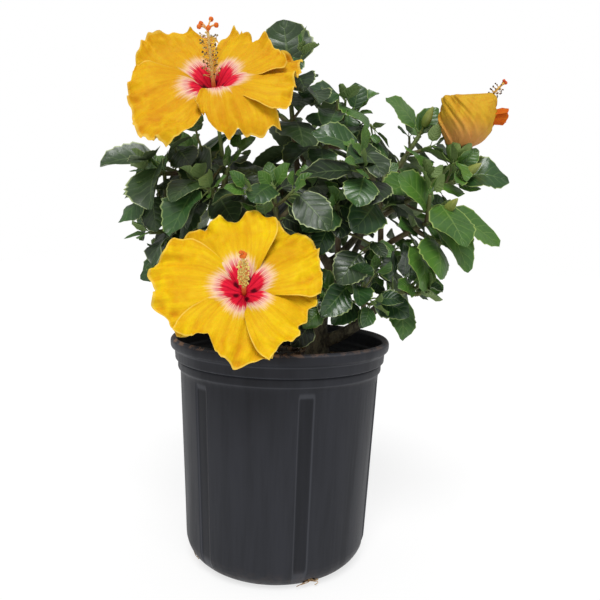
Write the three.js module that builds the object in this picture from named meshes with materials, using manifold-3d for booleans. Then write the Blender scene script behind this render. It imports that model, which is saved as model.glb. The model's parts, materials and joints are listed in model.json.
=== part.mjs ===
// A hibiscus shrub in its nursery pot: a short woody trunk that forks low into crooked boughs,
// leafy shoots at their ends, two open blooms, a closing bloom and a few buds.
//
// Lengths are millimetres and angles degrees. The origin is the centre of the pot's flat
// underside, +Z is up and -Y is the front, the side with the open blooms.

import * as THREE from "three";
import { mergeVertices } from "three/addons/utils/BufferGeometryUtils.js";
import Module from "manifold-3d";

const wasm = await Module();
wasm.setup();

const GAP = 0.3; // clearance where one wooden or plastic piece sits on another
const GOLDEN_ANGLE = 137.5; // turn from one leaf to the next round its twig
const CROWN_HEART = new THREE.Vector3(15, 10, 395); // leaves face away from here
const UP = new THREE.Vector3(0, 0, 1);
const FRONT = new THREE.Vector3(0, -1.2, 0.2);
const LIGHT = new THREE.Vector3(0, -0.36, 0.93); // where most of the light came from

// Blow-moulded pot: rolled lip, two-step collar, slightly tapered body, generous lower corner.
const POT = {
  height: 260,
  lipRadius: 127,
  lipHeight: 11,
  collarRadius: 121.5,
  collarDrop: 25, // from the top of the lip to the collar's lower edge
  beadRadius: 118.5,
  beadDrop: 35,
  bodyTopRadius: 116,
  bodyFootRadius: 106.5,
  cornerRadius: 31,
  wall: 2.4,
  channels: 6,
  channelPhase: 16, // from the front, towards +X
  channelDepth: 1.8,
  channelHalfWidth: 3.2,
  channelFade: 1.6, // extra degrees over which a channel's side slopes
  drainHoles: 4,
  drainPhase: 24,
  drainRadius: 7.5,
};
const SOIL_TOP = POT.height - 33;
const SOIL_MOUND = 5; // how much the potting mix rises towards its middle

// Limbs: each grows from `parent` at the share `at` of its length to `tip`, bowed by `bow`.
const TRUNK = {
  foot: new THREE.Vector3(44, 2, SOIL_TOP + SOIL_MOUND + GAP),
  tip: new THREE.Vector3(58, 4, 352),
  bow: new THREE.Vector3(-7, 0, 0),
  radii: [11, 6],
  flare: 7,
  flareHeight: 16,
  rings: [0, 0.05, 0.12, 0.24, 0.42, 0.7, 1],
};
const BOUGHS = [
  { name: "bough_right_low", parent: "trunk", at: 0.16, tip: [112, -14, 299], bow: [4, 0, -12], radii: [8.5, 4.6] },
  { name: "bough_right_middle", parent: "trunk", at: 0.74, tip: [121, -24, 372], bow: [2, -4, -6], radii: [5.4, 3.6] },
  { name: "bough_right_top", parent: "trunk", at: 0.97, tip: [116, 8, 430], bow: [6, 2, -12], radii: [5, 3.2] },
  { name: "bough_top", parent: "trunk", at: 0.9, tip: [16, 2, 442], bow: [-10, 4, -6], radii: [5, 3.2] },
  { name: "bough_left", parent: "trunk", at: 0.2, tip: [-66, -6, 352], bow: [0, -4, -16], radii: [8, 4.2] },
  { name: "bough_left_top", parent: "bough_left", at: 0.6, tip: [-62, -26, 420], bow: [-10, -6, 8], radii: [4.6, 3.2] },
  { name: "bough_front", parent: "trunk", at: 0.44, tip: [4, -58, 352], bow: [4, -6, -12], radii: [5.6, 3.4] },
  { name: "bough_middle", parent: "trunk", at: 0.6, tip: [62, -36, 362], bow: [4, -8, -10], radii: [4.6, 3.2] },
  { name: "bough_back", parent: "trunk", at: 0.52, tip: [24, 70, 388], bow: [4, 10, -14], radii: [6, 3.6] },
  { name: "bough_back_right", parent: "trunk", at: 0.66, tip: [98, 66, 384], bow: [8, 8, -12], radii: [5, 3.4] },
  { name: "bough_back_left", parent: "bough_left", at: 0.42, tip: [-62, 62, 384], bow: [-4, 10, -12], radii: [5, 3.4] },
];

// Foliage masses. Each leading shoot grows from `bough` at the share `at` of its length to `tip`.
// `twigs` are the side twigs as [share along the shoot, turn round it, length], `leaves` how many
// leaves grow on the shoot and on each side twig, `blade` the length of a full-grown blade, and
// `reach` how far from the mass's middle its leaves may go. `lead` holds the leaves that set the
// crown's outline, as [share along the shoot, tip x, y, z, blade length, how far it turns to the
// front]; the others find their place by the seeded rule.
const MASSES = [
  {
    name: "foliage_left", bough: "bough_left", at: 1, tip: [-147, -40, 415], seed: 11,
    twigs: [[0.45, 250, 46], [0.7, 80, 40]], leaves: [8, 4], blade: 66, reach: 100,
    lead: [[0.98, -178, -45, 385, 50, 0.4], [0.94, -129, -72, 376, 48, 1], [0.86, -158, -16, 366, 50, 0.2]],
  },
  {
    name: "foliage_left_top", bough: "bough_left_top", at: 0.82, tip: [-140, -6, 450], seed: 12,
    twigs: [[0.5, 40, 44], [0.75, 200, 36]], leaves: [8, 4], blade: 66, reach: 100,
    lead: [[0.97, -207, -16, 447, 62, 0.5], [0.8, -97, -34, 462, 52, 0.4], [0.9, -176, 12, 424, 54, 1]],
  },
  {
    name: "foliage_left_low", bough: "bough_left", at: 0.86, tip: [-126, 22, 344], seed: 13,
    twigs: [[0.55, 160, 34]], leaves: [6, 3], blade: 54, reach: 80,
    lead: [[0.98, -171, 20, 320, 44, 1], [0.9, -147, 8, 366, 38, 0.6]],
  },
  {
    name: "foliage_front_left", bough: "bough_left_top", at: 0.62, tip: [-84, -78, 428], seed: 14,
    twigs: [[0.5, 120, 38]], leaves: [7, 4], blade: 70, reach: 90,
    lead: [[0.96, -106, -112, 404, 72, 1], [0.86, -100, -70, 440, 52, 1]],
  },
  {
    name: "foliage_front", bough: "bough_front", at: 1, tip: [-8, -88, 424], seed: 15,
    twigs: [[0.45, 60, 44], [0.7, 220, 42]], leaves: [8, 4], blade: 70, reach: 98,
    lead: [[0.97, -28, -126, 406, 60, 1], [0.9, -50, -98, 410, 62, 1], [0.98, -46, -72, 444, 68, 0.7]],
  },
  {
    name: "foliage_middle", bough: "bough_middle", at: 1, tip: [58, -58, 410], seed: 30,
    twigs: [[0.5, 200, 36]], leaves: [8, 4], blade: 60, reach: 82,
    lead: [[0.8, 60, -84, 374, 54, 1], [0.9, 102, -64, 384, 48, 1], [0.98, 22, -100, 380, 52, 1]],
  },
  {
    name: "foliage_front_right", bough: "bough_right_middle", at: 0.84, tip: [82, -66, 462], seed: 16,
    twigs: [[0.4, 20, 44], [0.7, 190, 40]], leaves: [8, 4], blade: 66, reach: 98,
    lead: [[0.97, 28, -72, 482, 62, 0.8], [0.9, 66, -104, 448, 52, 0.8], [0.98, 100, -100, 436, 58, 1]],
  },
  {
    name: "foliage_top", bough: "bough_top", at: 1, tip: [2, 6, 556], seed: 17,
    twigs: [[0.45, 330, 52]], leaves: [7, 4], blade: 66, reach: 108,
    lead: [[0.99, -6, 6, 620, 66, 1.2], [0.8, 6, -24, 520, 66, 1], [0.93, 36, 12, 562, 36, 0.5]],
  },
  {
    name: "foliage_top_right", bough: "bough_top", at: 0.86, tip: [80, 18, 520], seed: 18,
    twigs: [[0.5, 70, 44], [0.72, 230, 38]], leaves: [8, 4], blade: 62, reach: 95,
    lead: [[0.97, 81, 20, 556, 52, 0.8], [0.9, 108, 26, 546, 34, 0.5], [0.72, 22, 22, 514, 58, 1]],
  },
  {
    name: "foliage_right_top", bough: "bough_right_top", at: 1, tip: [153, -1, 495], seed: 19,
    twigs: [[0.6, 140, 30]], leaves: [6, 3], blade: 58, reach: 84, buds: 2,
    lead: [[0.97, 111, -10, 533, 60, 0.8], [0.9, 171, -2, 526, 38, 0.3]],
  },
  {
    name: "foliage_right_end", bough: "bough_right_top", at: 0.5, tip: [188, -28, 440], seed: 29,
    twigs: [[0.6, 20, 30]], leaves: [5, 3], blade: 50, reach: 80, buds: 1,
    lead: [[0.97, 247, -34, 441, 54, 0.9], [0.98, 212, -30, 476, 28, 0.8], [0.6, 200, 16, 456, 54, 0.4]],
  },
  {
    name: "foliage_right", bough: "bough_right_middle", at: 1, tip: [166, -58, 398], seed: 20,
    twigs: [[0.45, 250, 36], [0.7, 60, 34]], leaves: [8, 4], blade: 64, reach: 98, buds: 1,
    lead: [[0.98, 235, -50, 370, 68, 0.25], [0.9, 196, -74, 342, 62, 0.45], [0.84, 118, -76, 440, 56, 1]],
  },
  {
    name: "foliage_right_low", bough: "bough_right_low", at: 1, tip: [150, -30, 322], seed: 21,
    twigs: [[0.4, 170, 34], [0.7, 340, 34]], leaves: [6, 3], blade: 50, reach: 78,
    lead: [[0.5, 136, -46, 264, 42, 1], [0.8, 142, -52, 346, 44, 0.8], [0.97, 182, -30, 322, 38, 1]],
  },
  {
    name: "foliage_low", bough: "bough_right_low", at: 0.74, tip: [78, -62, 326], seed: 22,
    twigs: [[0.5, 90, 30]], leaves: [6, 3], blade: 48, reach: 72,
    lead: [[0.96, 88, -94, 350, 42, 0.8], [0.9, 82, -98, 306, 44, 1], [0.98, 44, -82, 294, 38, 1]],
  },
  {
    name: "foliage_back_top", bough: "bough_back", at: 1, tip: [24, 74, 500], seed: 23,
    twigs: [[0.4, 30, 48], [0.7, 210, 44]], leaves: [9, 4], blade: 68, reach: 105, lead: [],
  },
  {
    name: "foliage_back", bough: "bough_back", at: 0.84, tip: [18, 146, 420], seed: 24,
    twigs: [[0.4, 90, 46], [0.7, 270, 42]], leaves: [9, 4], blade: 68, reach: 100, lead: [],
  },
  {
    name: "foliage_back_right", bough: "bough_back_right", at: 1, tip: [134, 118, 438], seed: 25,
    twigs: [[0.4, 60, 46], [0.7, 240, 40]], leaves: [9, 4], blade: 68, reach: 100, lead: [],
  },
  {
    name: "foliage_back_right_low", bough: "bough_back_right", at: 0.82, tip: [134, 84, 330], seed: 26,
    twigs: [[0.5, 150, 36]], leaves: [7, 3], blade: 58, reach: 85, lead: [],
  },
  {
    name: "foliage_back_left", bough: "bough_back_left", at: 1, tip: [-118, 104, 438], seed: 27,
    twigs: [[0.4, 120, 46], [0.7, 300, 40]], leaves: [9, 4], blade: 68, reach: 100, lead: [],
  },
  {
    name: "foliage_back_low", bough: "bough_back_left", at: 0.8, tip: [-44, 118, 334], seed: 28,
    twigs: [[0.5, 60, 36]], leaves: [7, 3], blade: 58, reach: 85, lead: [],
  },
];

// Open blooms: `throat` is where the petals part, `facing` the way the bloom looks and `column` the
// direction and length of its staminal column. `first` is the turn of petal 0 seen from the front,
// clockwise from +X, and `turns` how far each petal stands from its even place. `reflex` is how far
// each petal bends back, `hump` how far it bulges forward first, `size` its length against `petal`,
// `breadth` the width of its two halves against the usual one, `opens` the share of its length
// where it starts to open, and `edges` how far its margin reaches at seven places across it.
const BLOOMS = [
  {
    name: "bloom_front", bough: "bough_front", at: 0.8, throat: [-31, -138, 320], facing: [0.06, -0.86, 0.5],
    column: [4, -58, 34], petal: 85, first: 33, turns: [0, 0, 0, 0, 0], seed: 31,
    reflex: [22, 18, 24, 26, 26], hump: [3, 2, 3, 4, 3], size: [0.96, 0.98, 1.04, 1.08, 1],
    breadth: [[1, 1], [1, 1], [1, 1], [1, 1], [1, 1]], opens: [0.02, 0.02, 0.02, 0.02, 0.02],
    edges: [
      [0.84, 0.94, 0.85, 0.87, 0.92, 0.91, 1], [0.9, 0.92, 1.06, 0.84, 0.77, 0.87, 0.97],
      [0.89, 0.93, 1.06, 0.99, 1.14, 1.03, 0.97], [0.82, 0.93, 0.95, 1.02, 0.86, 0.98, 0.86],
      [1.07, 1.02, 1.07, 1.08, 1, 0.95, 0.87],
    ],
  },
  {
    name: "bloom_top", bough: "bough_left_top", at: 1, throat: [-71, -74, 517], facing: [0, -0.78, 0.62],
    column: [-3, -36, 54], petal: 98, first: 18, turns: [-23, -18, -22, -10, 0], seed: 32,
    reflex: [10, 62, 16, -24, -20], hump: [4, 4, 4, 2, 2], size: [1, 1.02, 1, 1, 1],
    breadth: [[0.9, 0.9], [0.95, 0.45], [0.85, 1.05], [0.95, 0.75], [0.72, 0.88]],
    opens: [0.02, 0.08, 0.02, 0.02, 0.02],
    edges: [
      [1, 1.08, 1.05, 0.95, 0.94, 0.93, 0.97], [1, 1, 0.95, 0.9, 0.82, 0.72, 0.6],
      [1.14, 1.14, 1.1, 1.03, 1, 0.92, 0.74], [0.9, 0.97, 1.02, 0.89, 0.81, 0.8, 0.5],
      [0.95, 0.9, 0.8, 0.8, 0.88, 0.9, 0.87],
    ],
  },
];
const PETALS = 5;
const PETAL_THICKNESS = 1.6;
const PETAL_HALF_WIDTH = 0.54; // against the petal's length
const CLOSING_BLOOM = {
  name: "bloom_closing", bough: "bough_right_top", at: 0.76, foot: [188, -24, 462], bow: [10, 2, -14],
  middle: [200, -24, 508], radius: 28, stigma: [238, -24, 549],
};
// Sections of its furled petals, from the calyx up and over to the mouth: x and z of the left end,
// x and z of the right end, and half the depth. Below the mouth the petals' tips are curled.
const FURL = [
  [182, 475, 195, 475, 7], [176, 488, 213, 483, 19], [171, 506, 225, 494, 26], [171, 520, 228, 505, 27],
  [173, 532, 229, 515, 23], [191, 534, 230, 521, 18], [213, 536, 231, 527, 11], [225, 538, 231, 532, 4],
];
const FURL_SIDES = 10;
const CURL = { from: [217, -24, 510], to: [240, -26, 512], radii: [8, 11] };

const TWIG_RADII = [3.4, 2.3]; // of a leading shoot, at its foot and its tip
const SIDE_TWIG_RADII = [2.8, 2.1];
const STALK_RADII = [2.6, 2]; // of a bloom's stalk
const PETIOLE_RADIUS = 0.8;
const LEAF_THICKNESS = 1.3;
const LEAF_HALF_WIDTH = 0.4;
const LEAF_CLEARANCE = 5.5; // between the sampled points of neighbouring leaves
const PETAL_CLEARANCE = 9;
const LIMB_CLEARANCE = 3;
const TRIES = 14; // places tried for a leaf before it is skipped

// Small helpers

const vector = (list) => new THREE.Vector3(...list);
const radians = THREE.MathUtils.degToRad;
const mix = THREE.MathUtils.lerp;

// Repeatable random numbers from 0 to 1: a linear congruential generator.
function seeded(seed) {
  let state = Math.imul(seed, 2654435761) >>> 0;
  return () => {
    state = (Math.imul(state, 1664525) + 1013904223) >>> 0;
    return state / 4294967296;
  };
}

// Two unit vectors square to `along` and to each other, the first also square to `helper`.
function squareTo(along, helper = helperFor(along)) {
  const side = new THREE.Vector3().crossVectors(along, helper).normalize();
  return [side, new THREE.Vector3().crossVectors(side, along).normalize()];
}

// An axis that is far from parallel to `along`.
function helperFor(along) {
  return Math.abs(along.z) < 0.8 * along.length() ? UP : new THREE.Vector3(1, 0, 0);
}

// A limb's centreline, direction, crosswise directions and tapering radius, as functions of the
// share of its length, with the number of sides and the shares at which its solid has rings. Its
// line is the parabola from `start` to `tip` whose middle is pulled aside by half of `bow`.
function limb(start, tip, bow, radii, sides, step) {
  const bend = start.clone().add(tip).multiplyScalar(0.5).add(bow);
  const first = bend.clone().sub(start);
  const whole = tip.clone().sub(start);
  const second = tip.clone().sub(bend);
  const pieces = Math.max(1, Math.round(whole.length() / step));
  const helper = helperFor(whole);
  const along = (t) => first.clone().multiplyScalar(1 - t).addScaledVector(second, t).normalize();
  return {
    at: (t) => start.clone().addScaledVector(first, 2 * t * (1 - t)).addScaledVector(whole, t * t),
    along,
    across: (t) => squareTo(along(t), helper),
    radius: (t) => mix(radii[0], radii[1], t),
    sides,
    rings: Array.from({ length: pieces + 1 }, (_, i) => i / pieces),
  };
}

// Solids

// A closed solid through rings of points. A ring has as many points as the next or one more or
// less; an end ring of one point is an apex, and any other end ring is closed by a strip.
function loft(rings) {
  const points = rings.flat();
  const starts = [];
  rings.reduce((sum, ring) => (starts.push(sum), sum + ring.length), 0);
  const triangles = [];
  for (let r = 0; r + 1 < rings.length; r += 1) {
    const [a, b] = [rings[r].length, rings[r + 1].length];
    const around = Math.max(a, b);
    for (let i = 0; i < around; i += 1) {
      const j = (i + 1) % around;
      const [a0, a1] = [starts[r] + (i % a), starts[r] + (j % a)];
      const [b0, b1] = [starts[r + 1] + (i % b), starts[r + 1] + (j % b)];
      if (a0 !== a1) triangles.push([a0, a1, b0]);
      if (b0 !== b1) triangles.push([a1, b1, b0]);
    }
  }
  const capStrip = (start, count, turned) => {
    for (let i = 0; i < count / 2 - 1; i += 1) {
      const [p, q, s, t] = [i, i + 1, count - 2 - i, count - 1 - i].map((k) => start + k);
      const faces = s === q ? [[p, q, t]] : [[p, q, s], [p, s, t]];
      triangles.push(...faces.map((face) => (turned ? face : face.reverse())));
    }
  };
  if (rings[0].length > 1) capStrip(starts[0], rings[0].length, false);
  if (rings.at(-1).length > 1) capStrip(starts.at(-1), rings.at(-1).length, true);
  return solidOf(points, triangles);
}

// A solid from points and triangles, with its faces turned outwards.
function solidOf(points, triangles) {
  const volume = triangles.reduce((sum, [a, b, c]) => {
    const cross = new THREE.Vector3().crossVectors(points[b], points[c]);
    return sum + points[a].dot(cross);
  }, 0);
  const turned = volume < 0 ? triangles.map(([a, b, c]) => [a, c, b]) : triangles;
  return new wasm.Manifold(
    new wasm.Mesh({
      numProp: 3,
      vertProperties: new Float32Array(points.flatMap((p) => p.toArray())),
      triVerts: new Uint32Array(turned.flat()),
    }),
  );
}

// A solid from a closed three.js geometry.
function solidOfGeometry(geometry) {
  const bare = new THREE.BufferGeometry();
  bare.setAttribute("position", geometry.getAttribute("position"));
  if (geometry.index) bare.setIndex(geometry.index);
  const merged = mergeVertices(bare, 1e-3);
  const triVerts = new Uint32Array(merged.index.array);
  return new wasm.Manifold(
    new wasm.Mesh({ numProp: 3, vertProperties: merged.attributes.position.array, triVerts }),
  );
}

function geometryOf(solid) {
  const mesh = solid.getMesh();
  const geometry = new THREE.BufferGeometry();
  geometry.setAttribute("position", new THREE.BufferAttribute(mesh.vertProperties, 3));
  geometry.setIndex(new THREE.BufferAttribute(mesh.triVerts, 1));
  return geometry;
}

// Pieces fused into one solid. Scraps that touch nothing are dropped and sealed hollows filled.
function fused(pieces) {
  const bodies = wasm.Manifold.union(pieces).decompose();
  return bodies.reduce((best, body) => (body.volume() > best.volume() ? body : best));
}

// A limb's solid, or that solid grown by `growth` on all sides.
function limbSolid(shape, growth = 0) {
  const rings = shape.rings.map((t) => {
    const [side, other] = t === 0 && shape.levelFoot ? squareTo(UP) : shape.across(t);
    const past = t === 0 ? -growth : t === 1 ? growth : 0;
    const centre = shape.at(t).addScaledVector(shape.along(t), past);
    return ringOf(centre, side, other, shape.radius(t) + growth / Math.cos(Math.PI / shape.sides), shape.sides);
  });
  return loft(rings);
}

function ringOf(centre, side, other, radius, sides) {
  return Array.from({ length: sides }, (_, i) => {
    const turn = (i / sides) * 2 * Math.PI;
    const spoke = side.clone().multiplyScalar(Math.cos(turn)).addScaledVector(other, Math.sin(turn));
    return centre.clone().addScaledVector(spoke, radius);
  });
}

// Pot and potting mix

// The pot's outer outline from the middle of its underside to the top of its lip.
function potOutline() {
  const { height, cornerRadius: r, bodyFootRadius: foot } = POT;
  const corner = [0, 22, 45, 68, 90].map((turn) => [
    foot - r + r * Math.sin(radians(turn)),
    r - r * Math.cos(radians(turn)),
  ]);
  return [
    [0, 0],
    ...corner,
    [bodyRadius(height - 50), height - 50],
    [bodyRadius(height - 42), height - 42],
    [POT.bodyTopRadius, height - POT.beadDrop - 3],
    [POT.beadRadius, height - POT.beadDrop],
    [POT.beadRadius, height - POT.collarDrop - 3],
    [POT.collarRadius, height - POT.collarDrop],
    [POT.collarRadius, height - POT.lipHeight - 2],
    [POT.lipRadius, height - POT.lipHeight],
    [POT.lipRadius, height - 3],
    [POT.lipRadius - 2.4, height],
  ];
}

function bodyRadius(z) {
  const share = (z - POT.cornerRadius) / (POT.height - 42 - POT.cornerRadius);
  return mix(POT.bodyFootRadius, POT.bodyTopRadius - 0.6, share);
}

// The inner outline, from the lip back down to the middle of the floor.
function potInnerOutline(inset) {
  const { height, cornerRadius: r, bodyFootRadius: foot } = POT;
  const inner = r - inset;
  const corner = [90, 45, 0].map((turn) => [
    foot - r + inner * Math.sin(radians(turn)),
    r - inner * Math.cos(radians(turn)),
  ]);
  return [
    [POT.lipRadius - 5, height],
    [POT.collarRadius - inset, height - 4],
    [POT.collarRadius - inset, height - POT.collarDrop - 1],
    [POT.bodyTopRadius - inset, height - POT.beadDrop - 2],
    [bodyRadius(height - 50) - inset, height - 50],
    ...corner,
    [0, inset],
  ];
}

// How deep a channel is at `angle` degrees from the front and height `z`.
function channelDepth(angle, z) {
  const pitch = 360 / POT.channels;
  const turn = Math.abs(((((angle - POT.channelPhase) % pitch) + 1.5 * pitch) % pitch) - pitch / 2);
  const { clamp } = THREE.MathUtils;
  const across = clamp((POT.channelHalfWidth + POT.channelFade - turn) / POT.channelFade, 0, 1);
  const foot = clamp((z - 5) / 22, 0, 1);
  const top = clamp((POT.height - 42 - z) / 8, 0, 1);
  return POT.channelDepth * across * Math.min(foot, top);
}

// Directions round the pot, closer together at the channels' edges.
function potAngles() {
  const { channelHalfWidth: half, channelFade: fade, channels } = POT;
  const pitch = 360 / channels;
  const edge = half + fade;
  const plain = [1, 2, 3].map((i) => edge + (i * (pitch - 2 * edge)) / 4);
  const turns = [-edge, -half, half, edge, ...plain];
  return Array.from({ length: channels }, (_, i) => turns.map((turn) => turn + i * pitch + POT.channelPhase)).flat();
}

// A turned solid whose outline starts and ends on the axis, with the channels pressed in.
function turnedSolid(outline) {
  const angles = potAngles();
  const rings = outline.map(([radius, z]) => {
    if (radius === 0) return [new THREE.Vector3(0, 0, z)];
    return angles.map((angle) => {
      const r = radius - channelDepth(angle, z);
      return new THREE.Vector3(r * Math.sin(radians(angle)), -r * Math.cos(radians(angle)), z);
    });
  });
  return loft(rings);
}

function makePot() {
  const shell = turnedSolid([...potOutline(), ...potInnerOutline(POT.wall)]);
  const holes = Array.from({ length: POT.drainHoles }, (_, i) => {
    const turn = radians(POT.drainPhase + (i * 360) / POT.drainHoles);
    const drill = new THREE.CylinderGeometry(POT.drainRadius, POT.drainRadius, 24, 10);
    const out = new THREE.Vector3(Math.sin(turn), -Math.cos(turn), -0.75).normalize();
    drill.applyQuaternion(new THREE.Quaternion().setFromUnitVectors(new THREE.Vector3(0, 1, 0), out));
    const corner = POT.bodyFootRadius - POT.cornerRadius * 0.42;
    drill.translate(corner * Math.sin(turn), -corner * Math.cos(turn), POT.cornerRadius * 0.34);
    return solidOfGeometry(drill);
  });
  return holes.reduce((pot, hole) => pot.subtract(hole), shell);
}

// The potting mix fills the pot to below its rim and has a level pad under the trunk.
function makePottingMix() {
  const inset = POT.wall + GAP;
  const filled = potInnerOutline(inset).filter(([, z]) => z < SOIL_TOP - 10);
  const edge = bodyRadius(SOIL_TOP) - inset - 1;
  const top = [
    [0, SOIL_TOP + SOIL_MOUND],
    [edge * 0.62, SOIL_TOP + SOIL_MOUND],
    [edge, SOIL_TOP],
  ];
  return turnedSolid([...top, ...filled]);
}

// Trunk and boughs

// The trunk flares towards its foot, which is cut flat where it meets the potting mix.
function trunkShape() {
  const { foot, tip, bow, radii, flare, flareHeight, rings } = TRUNK;
  const plain = limb(foot, tip, bow, radii, 10, 30);
  const flared = (t) => plain.radius(t) + flare * Math.exp((-t * (tip.z - foot.z)) / flareHeight);
  return { ...plain, radius: flared, rings, levelFoot: true };
}

function boughShapes(trunk) {
  const shapes = { trunk };
  for (const { name, parent, at, tip, bow, radii } of BOUGHS) {
    shapes[name] = limb(shapes[parent].at(at), vector(tip), vector(bow), radii, 7, 26);
  }
  return shapes;
}

// Leaves

// A leaf blade's half width, as a share of its length, from base (0) to tip (1).
function leafHalfWidth(u) {
  return LEAF_HALF_WIDTH * Math.pow(Math.sin(Math.PI * Math.pow(u, 0.74)), 0.75);
}

// A leaf whose stalk runs from `joint` to `base` and whose blade arches from there to `tip`, with
// its face as near to `gaze` as that allows.
function leafBetween(joint, base, tip, gaze, { curl, fold, roll, breadth }) {
  const chord = tip.clone().sub(base);
  const reach = chord.length();
  const forward = chord.normalize();
  const level = gaze.clone().addScaledVector(forward, -gaze.dot(forward)).normalize();
  const beside = new THREE.Vector3().crossVectors(level, forward);
  const raised = level.multiplyScalar(Math.cos(roll)).addScaledVector(beside, Math.sin(roll));
  const [c, s] = [Math.cos(curl / 2), Math.sin(curl / 2)];
  return {
    joint,
    base,
    along: forward.clone().multiplyScalar(c).addScaledVector(raised, s),
    face: raised.clone().multiplyScalar(c).addScaledVector(forward, -s),
    side: new THREE.Vector3().crossVectors(raised, forward),
    length: (reach * curl) / 2 / s,
    curl,
    fold,
    breadth,
  };
}

// The point at share u along and v across (-1 to 1) a blade that arches down and folds up.
function bladePoint(leaf, u, v, lift = 0) {
  const { base, along, face, side, length, curl, fold, breadth } = leaf;
  const bend = curl * u;
  const forward = (length * Math.sin(bend)) / curl;
  const drop = (length * (1 - Math.cos(bend))) / curl;
  const width = leafHalfWidth(u) * breadth * length;
  const rise = lift + Math.pow(Math.abs(v), 1.4) * width * Math.sin(fold);
  return base
    .clone()
    .addScaledVector(along, forward + rise * Math.sin(bend))
    .addScaledVector(face, -drop + rise * Math.cos(bend))
    .addScaledVector(side, v * width * Math.cos(fold));
}

// The arch, fold, roll and breadth of one leaf.
function leafBend(random, restless) {
  return {
    curl: 0.25 + 0.85 * random(),
    fold: -0.3 + 0.7 * random(),
    roll: (random() - 0.5) * restless,
    breadth: 0.88 + 0.24 * random(),
  };
}

// The way a leaf at `point` faces: out from the crown's heart and to the light.
function gazeAt(point) {
  return point.clone().sub(CROWN_HEART).normalize().multiplyScalar(0.7).addScaledVector(LIGHT, 0.7);
}

// Where leaf number `order` of a twig grows, at the given try to find it room.
function ruleLeaf(twig, order, blade, random, attempt) {
  const t = mix(twig.firstLeaf, 0.99, ((order + 0.5 + 0.38 * attempt) / twig.count) % 1);
  const joint = twig.at(t);
  const along = twig.along(t);
  const [side, other] = twig.across(t);
  const turn = radians(order * GOLDEN_ANGLE + twig.phase + (random() - 0.5) * 40 + attempt * 47);
  const open = radians(mix(74, 34, t) + (random() - 0.5) * 16 + (attempt % 3) * 7);
  const stalkDirection = along
    .multiplyScalar(Math.cos(open))
    .addScaledVector(side, Math.sin(open) * Math.cos(turn))
    .addScaledVector(other, Math.sin(open) * Math.sin(turn))
    .addScaledVector(UP, 0.12)
    .normalize();
  const growth = mix(1, 0.62, t * t) * (0.84 + 0.3 * random()) * (1 - 0.035 * attempt);
  const stalk = mix(26, 12, t) * growth * (0.8 + 0.5 * random());
  const base = joint.clone().addScaledVector(stalkDirection, stalk);
  const gaze = gazeAt(base);
  const direction = stalkDirection
    .addScaledVector(gaze, -0.5 * stalkDirection.dot(gaze))
    .addScaledVector(UP, -0.25 - 0.5 * random())
    .normalize();
  const tip = base.clone().addScaledVector(direction, blade * growth);
  return leafBetween(joint, base, tip, gaze, leafBend(random, 0.9));
}

// A leaf that sets the crown's outline: its blade ends at a given point.
function leadLeaf(twig, [share, x, y, z, blade, front], random) {
  const joint = twig.at(share);
  const tip = new THREE.Vector3(x, y, z);
  const span = joint.distanceTo(tip);
  const base = joint.clone().lerp(tip, Math.max(0.12, 1 - blade / span));
  base.addScaledVector(UP, 0.1 * span);
  return leafBetween(joint, base, tip, gazeAt(base).addScaledVector(FRONT, front), leafBend(random, 0.4));
}

// Points spread over a blade and its stalk, which stand for it when room is looked for.
function leafPoints(leaf) {
  const points = [0.45, 0.8].map((share) => leaf.joint.clone().lerp(leaf.base, share));
  for (const u of [0.1, 0.3, 0.5, 0.72, 1]) {
    for (const v of [-0.9, -0.45, 0, 0.45, 0.9]) points.push(bladePoint(leaf, u, v));
  }
  return points;
}

// A leaf: a thin three-sided stalk that widens into a blade thicker along its midrib.
function leafSolid(leaf) {
  const { joint, base, side } = leaf;
  const stalk = base.clone().sub(joint).normalize();
  const above = new THREE.Vector3().crossVectors(stalk, side).normalize().multiplyScalar(PETIOLE_RADIUS);
  const beside = side.clone().multiplyScalar(PETIOLE_RADIUS);
  const stalkRing = (centre) => [
    centre.clone().sub(beside).sub(above),
    centre.clone().add(above),
    centre.clone().add(beside).sub(above),
  ];
  const bladeRing = (u) => [
    bladePoint(leaf, u, -1),
    bladePoint(leaf, u, 0, LEAF_THICKNESS / 2),
    bladePoint(leaf, u, 1),
    bladePoint(leaf, u, 0, -LEAF_THICKNESS / 2),
  ];
  return loft([stalkRing(joint), stalkRing(base), bladeRing(0.3), bladeRing(0.7), [bladePoint(leaf, 1, 0)]]);
}

// A straight tapering rod.
function rod(from, to, startRadius, endRadius, sides) {
  const [side, other] = squareTo(to.clone().sub(from).normalize());
  return loft([ringOf(from, side, other, startRadius, sides), ringOf(to, side, other, endRadius, sides)]);
}

// Room already taken by limbs, petals and leaves: points, each with the clearance it asks.
class TakenRoom {
  points = [];

  add(points, clearance) {
    for (const point of points) this.points.push({ point, clearance });
  }

  isFree(points) {
    return points.every((p) =>
      this.points.every(({ point, clearance }) => p.distanceToSquared(point) > clearance * clearance),
    );
  }
}

// Points along a limb.
function limbPoints(shape) {
  return Array.from({ length: 13 }, (_, i) => shape.at(i / 12));
}

function nearPot(point) {
  const fromAxis = Math.hypot(point.x, point.y);
  if (point.z > POT.height + 6) return false;
  return fromAxis < POT.lipRadius + 6 && (fromAxis > POT.bodyTopRadius - 8 || point.z < SOIL_TOP + 12);
}

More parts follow.
